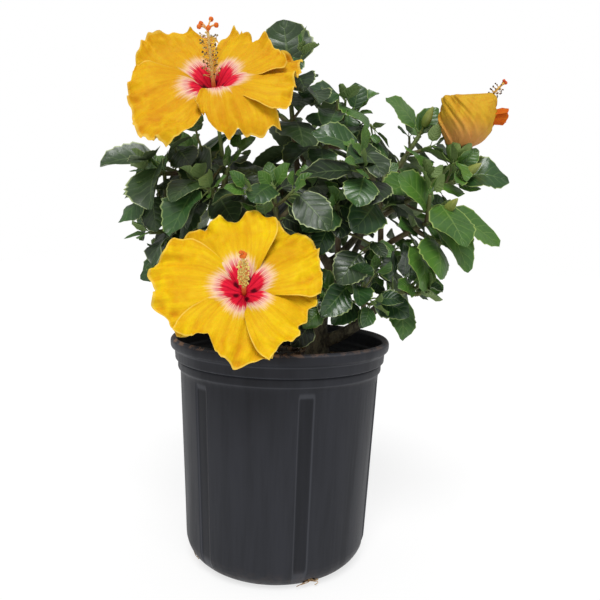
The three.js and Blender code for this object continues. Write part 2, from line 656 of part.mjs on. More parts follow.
// Twigs of a mass: its leading shoot from the bough's tip, and the side twigs that find room.
function massTwigs(mass, boughs, room) {
  const start = boughs[mass.bough].at(mass.at);
  const tip = vector(mass.tip);
  const span = start.distanceTo(tip);
  const bow = boughs[mass.bough].along(1).multiplyScalar(0.16 * span);
  const leading = {
    ...limb(start, tip, bow, TWIG_RADII, 3, 22),
    firstLeaf: 0.3, phase: mass.seed * 71, count: mass.leaves[0],
  };
  room.add(limbPoints(leading).slice(1), LIMB_CLEARANCE);
  const sideTwigs = mass.twigs.map(([at, turn, length], i) => ({
    ...sideTwig(leading, at, radians(turn), length),
    firstLeaf: 0.35, phase: mass.seed * 37 + i * 90, count: mass.leaves[1],
  }));
  return [leading, ...sideTwigs.filter((twig) => claimRoom(room, limbPoints(twig).slice(3), LIMB_CLEARANCE))];
}

function sideTwig(leading, at, turn, length) {
  const along = leading.along(at);
  const [side, other] = leading.across(at);
  const from = leading.at(at);
  const direction = along
    .multiplyScalar(0.6)
    .addScaledVector(side, 0.8 * Math.cos(turn))
    .addScaledVector(other, 0.8 * Math.sin(turn));
  const to = from.clone().addScaledVector(direction, length);
  return limb(from, to, new THREE.Vector3(0, 0, -0.1 * length), SIDE_TWIG_RADII, 3, 22);
}

// Takes the room that the points need, if it is free.
function claimRoom(room, points, clearance) {
  const free = room.isFree(points);
  if (free) room.add(points, clearance);
  return free;
}

// Leaves that set the outline, which take their room before any others.
function leadLeaves(mass, twigs, room) {
  const leaves = mass.lead.map((lead, i) => leadLeaf(twigs[0], lead, seeded(mass.seed * 1000 + 900 + i)));
  for (const leaf of leaves) room.add(leafPoints(leaf), LEAF_CLEARANCE);
  return leaves;
}

// The other leaves of a mass, each where it finds room inside the mass's own reach.
function ruleLeaves(mass, twigs, room) {
  const middle = twigs[0].at(0.72);
  const inside = (p) => p.distanceTo(middle) < mass.reach && !nearPot(p);
  const leaves = [];
  twigs.forEach((twig, twigNumber) => {
    for (let order = 0; order < twig.count; order += 1) {
      const random = seeded(mass.seed * 1000 + twigNumber * 100 + order);
      for (let attempt = 0; attempt < TRIES; attempt += 1) {
        const leaf = ruleLeaf(twig, order, mass.blade, random, attempt);
        const points = leafPoints(leaf);
        if (points.every(inside) && claimRoom(room, points, LEAF_CLEARANCE)) {
          leaves.push(leaf);
          break;
        }
      }
    }
  });
  return leaves;
}

// Blooms

// A petal's half width, as a share of its greatest, from its claw (0) to its tip (1).
function petalHalfWidth(u) {
  return 0.06 + 0.94 * Math.pow(Math.sin((Math.PI / 2) * Math.min(1, u * 1.22)), 1.3);
}

// Unit vectors of a bloom: along its column, and two across, the second as upright as can be.
function bloomAxes(facing) {
  const axis = vector(facing).normalize();
  const right = new THREE.Vector3(1, 0, 0).addScaledVector(axis, -axis.x).normalize();
  return { axis, right, rise: new THREE.Vector3().crossVectors(axis, right).negate() };
}

// How far a petal's margin reaches at v across, between the places where it is given.
function edgeReach(edge, v) {
  const spot = ((1 + v) / 2) * (edge.length - 1);
  const before = Math.min(Math.floor(spot), edge.length - 2);
  return mix(edge[before], edge[before + 1], spot - before);
}

// The point of petal k at share u along and v across, `lift` above its surface.
function petalPoint(bloom, k, u, v, lift = 0) {
  const { axis, right, rise } = bloomAxes(bloom.facing);
  const turn = radians(bloom.first + (k * 360) / PETALS + bloom.turns[k]);
  const out = right.clone().multiplyScalar(Math.cos(turn)).addScaledVector(rise, Math.sin(turn));
  const across = rise.clone().multiplyScalar(Math.cos(turn)).addScaledVector(right, -Math.sin(turn));
  const length = bloom.petal * bloom.size[k];
  const reach = u * (1 - 0.16 * v * v * u) * (1 + (edgeReach(bloom.edges[k], v) - 1) * Math.pow(u, 2.5));
  const opening = bloom.opens[k];
  const steps = 12;
  let [forward, outward] = [-10, 4];
  let lean = 0;
  for (let i = 0; i < steps; i += 1) {
    const share = ((i + 0.5) / steps) * reach;
    const opened = THREE.MathUtils.smoothstep(share, opening, opening + 0.4);
    lean = radians(16 + 66 * opened + bloom.reflex[k] * Math.max(0, (share - 0.4) / 0.6));
    forward += ((reach * length) / steps) * Math.cos(lean);
    outward += ((reach * length) / steps) * Math.sin(lean);
  }
  const half = petalHalfWidth(u) * PETAL_HALF_WIDTH * length * mix(...bloom.breadth[k], (1 + v) / 2);
  const swirl = 0.17 * v * half;
  const hump = bloom.hump[k] * Math.pow(Math.sin(Math.PI * Math.min(1, reach * 1.3)), 2);
  const ruffle = 3.2 * u * u * Math.sin(3.6 * v + 1.9 * k + bloom.seed);
  const height = forward + swirl + hump + ruffle + lift * Math.sin(lean);
  return vector(bloom.throat)
    .addScaledVector(axis, height)
    .addScaledVector(out, outward - lift * Math.cos(lean))
    .addScaledVector(across, v * half);
}

function petalSolid(bloom, k) {
  const rings = [0.04, 0.3, 0.64, 1].map((u) => {
    const across = [-1, -0.4, 0.4, 1];
    const upper = across.map((v) => petalPoint(bloom, k, u, v, PETAL_THICKNESS / 2));
    const lower = across.map((v) => petalPoint(bloom, k, u, v, -PETAL_THICKNESS / 2)).reverse();
    return [...upper, ...lower];
  });
  return loft(rings);
}

function petalPoints(bloom) {
  const points = [];
  for (let k = 0; k < PETALS; k += 1) {
    for (const u of [0.2, 0.4, 0.55, 0.7, 0.85, 1]) {
      for (const v of [-1, -0.66, -0.33, 0, 0.33, 0.66, 1]) points.push(petalPoint(bloom, k, u, v));
    }
  }
  return points;
}

// The stalk that carries a bloom, from its bough to the bloom's calyx.
function bloomStalk(bloom, boughs) {
  const { axis } = bloomAxes(bloom.facing);
  const start = boughs[bloom.bough].at(bloom.at);
  const calyx = vector(bloom.throat).addScaledVector(axis, -26);
  const bow = axis.clone().multiplyScalar(-0.3 * start.distanceTo(calyx));
  return limb(start, calyx, bow, STALK_RADII, 4, 30);
}

// Staminal column, with a thicker stretch where the stamens stand and five stigma pads.
function columnPieces(bloom) {
  const throat = vector(bloom.throat);
  const axis = vector(bloom.column).normalize();
  const length = vector(bloom.column).length();
  const [right, rise] = squareTo(axis);
  const at = (distance) => throat.clone().addScaledVector(axis, distance);
  const outline = [[-12, 3.4], [0.42 * length, 2.6], [0.6 * length, 6.5], [0.86 * length, 5.5], [length, 1.6]];
  const pads = Array.from({ length: 5 }, (_, i) => {
    const turn = radians(i * 72 + 20);
    const spoke = right.clone().multiplyScalar(Math.cos(turn)).addScaledVector(rise, Math.sin(turn));
    return rod(at(length - 3), at(length + 7).addScaledVector(spoke, 7), 1, 2, 3);
  });
  return [loft(outline.map(([distance, radius]) => ringOf(at(distance), right, rise, radius, 6))), ...pads];
}

function knob(centre, radius) {
  return solidOfGeometry(new THREE.OctahedronGeometry(radius).translate(...centre.toArray()));
}

// Green calyx round the foot of the petals, with narrow bracts below it.
function calyxPieces(foot, axis, radius, height) {
  const [side, other] = squareTo(axis);
  const at = (distance) => foot.clone().addScaledVector(axis, distance);
  const cup = loft([
    ringOf(at(-3), side, other, 2.6, 6),
    ringOf(at(height * 0.35), side, other, radius * 0.85, 6),
    ringOf(at(height), side, other, radius, 6),
  ]);
  const bracts = Array.from({ length: 5 }, (_, i) => {
    const turn = radians(i * 72);
    const out = side.clone().multiplyScalar(Math.cos(turn)).addScaledVector(other, Math.sin(turn));
    return rod(at(0), at(6).addScaledVector(out, radius + 5), 1.3, 0.9, 3);
  });
  return [cup, ...bracts];
}

function makeBloom(bloom, boughs) {
  const { axis } = bloomAxes(bloom.facing);
  const calyxFoot = vector(bloom.throat).addScaledVector(axis, -28);
  const petals = Array.from({ length: PETALS }, (_, k) => petalSolid(bloom, k));
  const stalk = limbSolid(bloomStalk(bloom, boughs));
  return [...petals, stalk, ...columnPieces(bloom), ...calyxPieces(calyxFoot, axis, 8.5, 22)];
}

// The closing bloom: furled petals that swell from the calyx, turn over at a shoulder and narrow to
// a mouth, from which the column comes, with curled tips below it.
function makeClosingBloom(bloom, boughs) {
  const rings = FURL.map(([x0, z0, x1, z1, depth]) => {
    const centre = new THREE.Vector3((x0 + x1) / 2, bloom.foot[1], (z0 + z1) / 2);
    const half = new THREE.Vector3((x1 - x0) / 2, 0, (z1 - z0) / 2);
    return Array.from({ length: FURL_SIDES }, (_, i) => {
      const turn = (i / FURL_SIDES) * 2 * Math.PI;
      const side = new THREE.Vector3(0, -depth * Math.sin(turn), 0);
      return centre.clone().addScaledVector(half, Math.cos(turn)).add(side);
    });
  });
  const middles = rings.map((ring) => ring[0].clone().lerp(ring[FURL_SIDES / 2], 0.5));
  const stigma = vector(bloom.stigma);
  return [
    loft([[middles[0]], ...rings, [middles.at(-1)]]),
    rod(vector(CURL.from), vector(CURL.to), ...CURL.radii, 7),
    rod(middles.at(-2), stigma, 1.6, 1.4, 4),
    knob(stigma, 3.4),
    limbSolid(closingStalk(bloom, boughs)),
    ...calyxPieces(vector(bloom.foot), calyxAxis(bloom), 13, 20),
  ];
}

// From the closing bloom's foot to the middle of its petals' lower part.
function calyxAxis(bloom) {
  const [x0, z0, x1, z1] = FURL[1];
  return new THREE.Vector3((x0 + x1) / 2, bloom.foot[1], (z0 + z1) / 2).sub(vector(bloom.foot)).normalize();
}

function closingStalk(bloom, boughs) {
  const start = boughs[bloom.bough].at(bloom.at);
  return limb(start, vector(bloom.foot).addScaledVector(calyxAxis(bloom), 2), vector(bloom.bow), STALK_RADII, 4, 30);
}

// A pointed bud on a thin stalk at the end of a twig.
function budPieces(twig, order) {
  const from = twig.at(1 - 0.04 * order);
  const [side, other] = squareTo(twig.along(1));
  const turn = radians(order * 170 + 40);
  const lean = side.clone().multiplyScalar(Math.cos(turn)).addScaledVector(other, Math.sin(turn));
  const direction = twig.along(1).clone().addScaledVector(lean, 0.5).normalize();
  const foot = from.clone().addScaledVector(direction, 14);
  const [across, beside] = squareTo(direction);
  const at = (distance) => foot.clone().addScaledVector(direction, distance);
  const bud = loft([
    [at(-2)],
    ringOf(at(5), across, beside, 4.6, 6),
    ringOf(at(13), across, beside, 3.8, 6),
    [at(23)],
  ]);
  return [rod(from, foot, 1.3, 1.3, 3), bud];
}

// Assembly

const BARK = new THREE.MeshStandardMaterial({ color: 0x6b5a44, roughness: 0.9 });
const PLASTIC = new THREE.MeshStandardMaterial({ color: 0x24262a, roughness: 0.5 });
const MIX = new THREE.MeshStandardMaterial({ color: 0x2b211a, roughness: 1 });
const LEAF_GREEN = new THREE.MeshStandardMaterial({ color: 0x2f5a2c, roughness: 0.45 });
const PETAL_YELLOW = new THREE.MeshStandardMaterial({ color: 0xf6c21a, roughness: 0.6 });

const plant = new THREE.Group();
const placed = []; // solids already in the plant, which later ones stay clear of
const room = new TakenRoom();

function place(name, solid, material) {
  const mesh = new THREE.Mesh(geometryOf(solid), material);
  mesh.name = name;
  plant.add(mesh);
  placed.push(solid);
}

// A piece cut back from the limb that carries it, to leave the joint's clearance.
function seatedOn(pieces, carrier) {
  return fused([fused(pieces).subtract(limbSolid(carrier, GAP))]);
}

// The leaves that stay clear of the obstacles and, past the first `leading`, cross no leaf before.
function untouched(leaves, leading, obstacles) {
  const kept = [];
  leaves.forEach((leaf, i) => {
    const solid = leafSolid(leaf);
    const clear = obstacles.every((other) => solid.minGap(other, 2 * GAP) > GAP);
    const crossed = i >= leading && kept.some((other) => solid.intersect(other).volume() > 0);
    if (clear && !crossed) kept.push(solid);
  });
  return kept;
}

const trunk = trunkShape();
const boughs = boughShapes(trunk);
place("pot", makePot(), PLASTIC);
place("potting_mix", makePottingMix(), MIX);
place("trunk", limbSolid(trunk), BARK);
for (const { name, parent } of BOUGHS) place(name, seatedOn([limbSolid(boughs[name])], boughs[parent]), BARK);

for (const shape of Object.values(boughs)) room.add(limbPoints(shape), shape.radius(0.3) + LIMB_CLEARANCE);
for (const bloom of BLOOMS) {
  room.add(petalPoints(bloom), PETAL_CLEARANCE);
  room.add(limbPoints(bloomStalk(bloom, boughs)).slice(1), LIMB_CLEARANCE);
}
room.add([vector(CLOSING_BLOOM.middle)], CLOSING_BLOOM.radius + 14);
room.add(limbPoints(closingStalk(CLOSING_BLOOM, boughs)).slice(1), LIMB_CLEARANCE);
const twigsOf = new Map(MASSES.map((mass) => [mass, massTwigs(mass, boughs, room)]));
const leavesOf = new Map([...twigsOf].map(([mass, twigs]) => [mass, leadLeaves(mass, twigs, room)]));
for (const [mass, twigs] of twigsOf) leavesOf.get(mass).push(...ruleLeaves(mass, twigs, room));

for (const bloom of BLOOMS) {
  place(bloom.name, seatedOn(makeBloom(bloom, boughs), boughs[bloom.bough]), PETAL_YELLOW);
}
const closing = makeClosingBloom(CLOSING_BLOOM, boughs);
place(CLOSING_BLOOM.name, seatedOn(closing, boughs[CLOSING_BLOOM.bough]), PETAL_YELLOW);

const stemsOf = new Map([...twigsOf].map(([mass, twigs]) => [mass, twigs.map((twig) => limbSolid(twig))]));
for (const mass of MASSES) {
  const otherStems = [...stemsOf].filter(([other]) => other !== mass).flatMap(([, stems]) => stems);
  const obstacles = [...placed, ...otherStems];
  const leaves = untouched(leavesOf.get(mass), mass.lead.length, obstacles);
  const buds = Array.from({ length: mass.buds ?? 0 }, (_, i) => budPieces(twigsOf.get(mass)[0], i)).flat();
  place(mass.name, seatedOn([...stemsOf.get(mass), ...leaves, ...buds], boughs[mass.bough]), LEAF_GREEN);
}

export default plant;
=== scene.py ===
"""A hibiscus shrub in its nursery pot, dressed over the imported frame.

The shapes are worked out in millimetres in the frame's axes: the origin is the centre of the pot's
flat underside, +Z is up and -Y is the front. They become metres when a mesh is made of them.
"""

import json
import logging
import math
from dataclasses import dataclass, field
from enum import Enum
from functools import partialmethod
from typing import Sequence

import bpy
import numpy as np
from mathutils import Matrix, Vector

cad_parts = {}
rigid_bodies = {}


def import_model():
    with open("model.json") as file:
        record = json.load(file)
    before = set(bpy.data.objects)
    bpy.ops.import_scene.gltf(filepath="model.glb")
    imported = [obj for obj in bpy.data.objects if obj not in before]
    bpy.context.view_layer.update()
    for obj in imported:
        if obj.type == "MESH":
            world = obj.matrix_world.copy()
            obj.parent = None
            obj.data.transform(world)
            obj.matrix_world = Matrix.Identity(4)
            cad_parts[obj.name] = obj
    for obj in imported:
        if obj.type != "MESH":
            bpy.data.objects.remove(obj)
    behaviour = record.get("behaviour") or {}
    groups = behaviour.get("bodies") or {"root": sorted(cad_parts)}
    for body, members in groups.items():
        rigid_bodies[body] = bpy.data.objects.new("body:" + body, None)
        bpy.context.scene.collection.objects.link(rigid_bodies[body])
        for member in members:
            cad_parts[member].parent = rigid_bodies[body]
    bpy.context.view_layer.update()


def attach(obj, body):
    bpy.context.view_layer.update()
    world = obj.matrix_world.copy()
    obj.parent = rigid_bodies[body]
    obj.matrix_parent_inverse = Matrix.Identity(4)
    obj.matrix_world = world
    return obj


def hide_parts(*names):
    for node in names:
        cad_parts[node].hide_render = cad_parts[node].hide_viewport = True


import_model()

LOG = logging.getLogger("hibiscus")
Array = np.ndarray
Number = float | Array
Random = np.random.Generator

MM = 0.001  # metres in a millimetre
BODY = "root"
GOLDEN_ANGLE = 137.5  # turn from one leaf to the next round its twig
UP = np.array([0.0, 0.0, 1.0])
EYE = np.array([21.7, -700.0, 367.0])  # where the photograph was taken from
CROWN_HEART = np.array([15.0, 10.0, 395.0])  # leaves face away from here
# Leaves near this point get painted shade: their tint is raised, which darkens them towards their shade
# colour.
PAINTED_SHADE_HEART = np.array([35.0, 10.0, 345.0])  # leaves are darkest here
FRONT = np.array([0.0, -1.2, 0.2])
LIGHT = np.array([0.0, -0.36, 0.93])  # where most of the light came from
SMOOTH = 180.0  # degrees past which an edge is sharp, for pieces that have none


# Small helpers


def vec(values: Sequence[float]) -> Array:
    """A vector of floats."""
    return np.asarray(values, float)


def length(vector: Array) -> float:
    """Length of a vector."""
    return float(np.linalg.norm(vector))


def unit(vectors: Array) -> Array:
    """Vectors scaled to length one."""
    return vectors / np.linalg.norm(vectors, axis=-1, keepdims=True)


def stack(*parts: Number) -> Array:
    """Parts spread to one shape and set side by side along a new last axis."""
    return np.stack(np.broadcast_arrays(*parts), axis=-1)


def mix(a: Number, b: Number, share: Number) -> Number:
    """Straight blend from a to b."""
    return a + (b - a) * share


def smoothstep(x: Number, low: float, high: float) -> Number:
    """Zero below low, one above high, and an S-shaped rise between."""
    t = np.clip((x - low) / (high - low), 0.0, 1.0)
    return t * t * (3 - 2 * t)


def even_turns(count: int) -> Array:
    """Evenly spaced turns round a circle, in radians."""
    return np.arange(count) / count * 2 * math.pi


def spoke(side: Array, other: Array, turn: Number) -> Array:
    """Directions at turns from `side` towards `other`: side by cosine plus other by sine."""
    turn = np.asarray(turn, float)[..., None]
    return np.cos(turn) * side + np.sin(turn) * other


def srgb(red: float, green: float, blue: float) -> tuple[float, float, float, float]:
    """A display colour with channels from 0 to 255 as a linear colour for a shader."""
    channels = [c / 255 for c in (red, green, blue)]
    linear = [c / 12.92 if c <= 0.04045 else ((c + 0.055) / 1.055) ** 2.4 for c in channels]
    return (*linear, 1.0)


class Seeded:
    """Repeatable random numbers from 0 to 1: a linear congruential generator."""

    def __init__(self, seed: int) -> None:
        """Starts the generator from a whole number."""
        self.state = (int(seed) * 2654435761) & 0xFFFFFFFF

    def __call__(self) -> float:
        """The next number."""
        self.state = (self.state * 1664525 + 1013904223) & 0xFFFFFFFF
        return self.state / 4294967296.0


def lattice_noise(points: Array, seed: int) -> Array:
    """Value noise from -1 to 1: random values on a cubic lattice, eased between its corners.

    Args:
        points: places, shape (..., 3), with one lattice cell per unit.
        seed: picks the random values.

    Returns:
        One value for each place.
    """
    cell = np.floor(points).astype(np.int64)
    share = points - cell
    ease = share * share * (3 - 2 * share)
    total = np.zeros(points.shape[:-1])
    for corner in np.ndindex(2, 2, 2):
        x, y, z = np.moveaxis(cell + np.array(corner), -1, 0)
        mixed = (x * 73856093) ^ (y * 19349663) ^ (z * 83492791) ^ (seed * 668265263)
        mixed = ((mixed ^ (mixed >> 13)) * 1274126177) & 0xFFFFFFFF
        value = ((mixed ^ (mixed >> 16)) & 0xFFFF) / 32767.5 - 1.0
        total += value * np.prod(np.where(corner, ease, 1 - ease), axis=-1)
    return total


def fractal_noise(points: Array, seed: int, octaves: int = 3) -> Array:
    """Sum of lattice noises, each half as strong and twice as fine as the one before."""
    return sum(lattice_noise(points * 2.0**i, seed + i) * 0.5**i for i in range(octaves))


# Surfaces


@dataclass
class Patch:
    """A closed surface in millimetres, before it becomes part of a mesh.

    Attributes:
        points: vertices, shape (n, 3).
        quads: vertex numbers of four-sided faces.
        triangles: vertex numbers of three-sided faces.
        uv: one pair for each vertex.
        tint: one number from 0 to 1 for each vertex, which a finish reads.
        inner: which quads and triangles take the piece's second finish, as two masks.
    """

    points: Array
    quads: Array
    triangles: Array
    uv: Array
    tint: Array
    inner: tuple[Array, Array] | None = None


def grid_quads(rows: int, columns: int, wrap: bool) -> Array:
    """Quads of a grid of vertices numbered row by row.

    Args:
        rows: rows of vertices.
        columns: vertices in a row.
        wrap: whether each row closes on itself.

    Returns:
        Vertex numbers, shape (faces, 4).
    """
    row = np.arange(rows - 1)[:, None] * columns
    column = np.arange(columns if wrap else columns - 1)
    beside = (column + 1) % columns
    return stack(row + column, row + beside, row + columns + beside, row + columns + column).reshape(-1, 4)


def outward(patch: Patch) -> Patch:
    """The same patch with its faces pointing out, told by the sign of the volume they enclose."""
    p = patch.points - patch.points.mean(axis=0)
    halves = [patch.triangles, patch.quads[:, [0, 1, 2]], patch.quads[:, [0, 2, 3]]]
    corners = p[np.concatenate(halves)]
    volume = np.einsum("ij,ij->", corners[:, 0], np.cross(corners[:, 1], corners[:, 2]))
    if volume < 0:
        patch.quads = patch.quads[:, ::-1]
        patch.triangles = patch.triangles[:, ::-1]
    return patch


def loft(rings: Array, tint: Number = 0.5, poles: tuple[Array, Array] | None = None) -> Patch:
    """A closed surface through rings of points, with a fan to a pole at each end.

    Args:
        rings: shape (n, m, 3).
        tint: one number, or one for each ring.
        poles: the two poles, or None for the middles of the end rings.

    Returns:
        The patch; its UV runs round the rings and from first to last.
    """
    n, m, _ = rings.shape
    ends = np.stack(poles) if poles else rings[[0, -1]].mean(axis=1)
    i = np.arange(m)
    j = (i + 1) % m
    fans = [stack(j, i, n * m), stack((n - 1) * m + i, (n - 1) * m + j, n * m + 1)]
    u, v = np.meshgrid(i / m, np.linspace(0, 1, n))
    uv = np.concatenate([stack(u, v).reshape(-1, 2), [[0.5, 0.0], [0.5, 1.0]]])
    shades = np.broadcast_to(np.asarray(tint, float), (n,))
    tints = np.concatenate([np.repeat(shades, m), shades[[0, -1]]])
    points = np.concatenate([rings.reshape(-1, 3), ends])
    return outward(Patch(points, grid_quads(n, m, True), np.concatenate(fans), uv, tints))


def sheet(upper: Array, lower: Array, uv: Array, tint: Number = 0.5) -> Patch:
    """A closed thin sheet between two grids, with strips along its four edges.

    Args:
        upper: grid of points on the upper side, shape (n, m, 3).
        lower: the same grid on the lower side.
        uv: one pair for each grid point, shape (n, m, 2).
        tint: one number, or one for each grid point.

    Returns:
        The patch, whose lower side is marked as inner.
    """
    n, m, _ = upper.shape
    top = grid_quads(n, m, False)
    index = np.arange(n * m).reshape(n, m)
    border = np.concatenate([index[0], index[1:, -1], index[-1, -2::-1], index[-2:0:-1, 0]])
    nearby = np.roll(border, -1)
    rim = stack(nearby, border, border + n * m, nearby + n * m)
    quads = np.concatenate([top, top[:, ::-1] + n * m, rim])
    is_lower = np.repeat([False, True, False], [len(top), len(top), len(rim)])
    points = np.concatenate([upper.reshape(-1, 3), lower.reshape(-1, 3)])
    pairs = np.tile(uv.reshape(-1, 2), (2, 1))
    tints = np.tile(np.broadcast_to(np.asarray(tint, float), (n, m)).ravel(), 2)
    none = np.zeros((0, 3), int)
    return outward(Patch(points, quads, none, pairs, tints, (is_lower, np.zeros(0, bool))))


def helper_for(along: Array) -> Array:
    """An axis that is far from parallel to `along`."""
    return UP if abs(along[2]) < 0.8 * length(along) else vec([1, 0, 0])


def crosswise(along: Array, helper: Array | None = None) -> tuple[Array, Array]:
    """Two unit vectors square to `along` and to each other, the first square to `helper` too."""
    side = unit(np.cross(along, helper_for(along) if helper is None else helper))
    return side, unit(np.cross(side, along))


def tube(path: Array, radii: Number, sides: int = 8, tint: Number = 0.5) -> Patch:
    """A closed tube round a path: at each point a ring square to the path's direction there.

    Args:
        path: centre points, shape (n, 3).
        radii: one radius, or one for each point.
        sides: points in a ring.
        tint: one number, or one for each point.

    Returns:
        The patch.
    """
    side, other = crosswise(unit(np.gradient(path, axis=0)), helper_for(path[-1] - path[0]))
    width = np.broadcast_to(np.asarray(radii, float), (len(path),))[:, None, None]
    return loft(path[:, None] + spoke(side[:, None], other[:, None], even_turns(sides)) * width, tint)


def bezier(corners: Sequence[Array], steps: int) -> Array:
    """Points of the cubic curve that four corner points pull along."""
    t = np.linspace(0, 1, steps)[:, None]
    a, b, c, d = corners
    return (1 - t) ** 3 * a + 3 * t * (1 - t) ** 2 * b + 3 * t * t * (1 - t) * c + t**3 * d


def bead(centre: Array, radius: float, seed: int, tint: float = 0.5, rough: float = 0.15) -> Patch:
    """A small bumpy ball: rings of six points round the vertical, pushed in and out by noise.

    Args:
        centre: its middle.
        radius: its mean radius.
        seed: picks its bumps.
        tint: its tint all over.
        rough: height of its bumps against the radius.

    Returns:
        The patch.
    """
    polar = np.array([[0.25], [0.5], [0.75]]) * math.pi
    turn = even_turns(6)
    way = stack(np.sin(polar) * np.cos(turn), np.sin(polar) * np.sin(turn), np.cos(polar))
    swell = radius * (1 + rough * lattice_noise(way * 2.3, seed))[..., None]
    return loft(centre + way * swell, tint, (centre + UP * radius, centre - UP * radius))


def joined(patches: Sequence[Patch]) -> tuple[Array, Array, Array]:
    """Points in metres, quads and triangles of patches put together."""
    starts = np.cumsum([0, *[len(p.points) for p in patches]])[:-1]
    quads = np.concatenate([p.quads + start for p, start in zip(patches, starts)])
    triangles = np.concatenate([p.triangles + start for p, start in zip(patches, starts)])
    return np.concatenate([p.points for p in patches]) * MM, quads, triangles


def new_object(name: str, data: bpy.types.ID) -> bpy.types.Object:
    """A new object in the scene that holds the given data."""
    made = bpy.data.objects.new(name, data)
    bpy.context.collection.objects.link(made)
    return made


def build_piece(
    name: str,
    patches: Sequence[Patch],
    finishes: Sequence["Finish"],
    replaces: Sequence[str],
    crease: float = 80.0,
) -> bpy.types.Object:
    """Joins patches into one mesh object that rides with the plant.

    Args:
        name: the piece's name.
        patches: closed surfaces in millimetres.
        finishes: the outer finish and, where patches mark inner faces, the inner one.
        replaces: the frame's nodes that the piece stands for.
        crease: edges sharper than this many degrees are shaded sharp.

    Returns:
        The object, at the origin, with its place in its mesh.
    """
    points, quads, triangles = joined(patches)
    uv = np.concatenate([p.uv for p in patches])
    plain = [(np.zeros(len(p.quads), bool), np.zeros(len(p.triangles), bool)) for p in patches]
    marks = [p.inner or q for p, q in zip(patches, plain)]
    inner = np.concatenate([*[m[0] for m in marks], *[m[1] for m in marks]])
    corners = np.concatenate([quads.ravel(), triangles.ravel()]).astype(np.int32)
    sizes = np.repeat([4, 3], [len(quads), len(triangles)])
    starts = np.concatenate([[0], np.cumsum(sizes)[:-1]]).astype(np.int32)

    mesh = bpy.data.meshes.new(name)
    mesh.vertices.add(len(points))
    mesh.vertices.foreach_set("co", points.ravel())
    mesh.loops.add(len(corners))
    mesh.loops.foreach_set("vertex_index", corners)
    mesh.polygons.add(len(sizes))
    mesh.polygons.foreach_set("loop_start", starts)
    mesh.polygons.foreach_set("material_index", inner.astype(np.int32))
    mesh.update(calc_edges=True)
    mesh.uv_layers.new(name="UVMap").data.foreach_set("uv", uv[corners].ravel())
    tints = mesh.attributes.new("tint", "FLOAT", "POINT")
    tints.data.foreach_set("value", np.concatenate([p.tint for p in patches]))
    smooth(mesh, crease)
    for finish in finishes:
        mesh.materials.append(finish.material())
    piece = new_object(name, mesh)
    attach(piece, BODY)
    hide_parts(*replaces)
    LOG.info("%s: %d faces", name, len(mesh.polygons))
    return piece


def smooth(mesh: bpy.types.Mesh, crease: float) -> None:
    """Shades a mesh smooth, but for edges over `crease` degrees."""
    mesh.shade_smooth()
    mesh.set_sharp_from_angle(angle=math.radians(crease))


def settle(piece: bpy.types.Object, crease: float) -> None:
    """Applies a piece's modifiers to its mesh, and shades it again.

    Args:
        piece: the object, whose modifiers go.
        crease: edges sharper than this many degrees are shaded sharp.
    """
    depsgraph = bpy.context.evaluated_depsgraph_get()
    depsgraph.update()
    mesh = bpy.data.meshes.new_from_object(piece.evaluated_get(depsgraph), depsgraph=depsgraph)
    piece.modifiers.clear()
    old = piece.data
    piece.data = mesh
    mesh.name = piece.name
    bpy.data.meshes.remove(old)
    smooth(mesh, crease)


# Shader graphs


class Value:
    """A number, vector or colour in a node tree; arithmetic on it adds Math nodes."""

    def __init__(self, graph: "Graph", socket: bpy.types.NodeSocket) -> None:
        """Takes the graph and the socket that gives the value."""
        self.graph = graph
        self.socket = socket

    def step(self, operation: str, other: "Value | float" = 0.0) -> "Value":
        """One arithmetic step on this number, and another where the step takes two."""
        return self.graph.value("Math", {0: self, 1: other}, operation=operation)

    __add__ = partialmethod(step, "ADD")
    __sub__ = partialmethod(step, "SUBTRACT")
    __mul__ = partialmethod(step, "MULTIPLY")
    __truediv__ = partialmethod(step, "DIVIDE")
    __abs__ = partialmethod(step, "ABSOLUTE")
    fraction = partialmethod(step, "FRACT")
    larger = partialmethod(step, "MAXIMUM")

    def clamped(self) -> "Value":
        """The same Math node, kept between 0 and 1."""
        self.socket.node.use_clamp = True
        return self

    def ramp(self, low: float, high: float, start: float = 0.0, end: float = 1.0) -> "Value":
        """Smooth change from `start` to `end` as the number goes from `low` to `high`."""
        given = {"Value": self, "From Min": low, "From Max": high, "To Min": start, "To Max": end}
        return self.graph.value("MapRange", given, "Result", interpolation_type="SMOOTHSTEP")

    def noise(self, scale: "Value | float", detail: float = 2.0) -> "Value":
        """Noise from 0 to 1 at these coordinates."""
        return self.graph.value("TexNoise", {"Vector": self, "Scale": scale, "Detail": detail})

    def stretched(self, scale: Sequence[float]) -> "Value":
        """Coordinates multiplied axis by axis."""
        return self.graph.value("VectorMath", {0: self, 1: scale}, operation="MULTIPLY")

    def axes(self) -> list["Value"]:
        """The three numbers of a vector."""
        made = self.graph.node("SeparateXYZ", {0: self})
        return [Value(self.graph, socket) for socket in made.outputs]


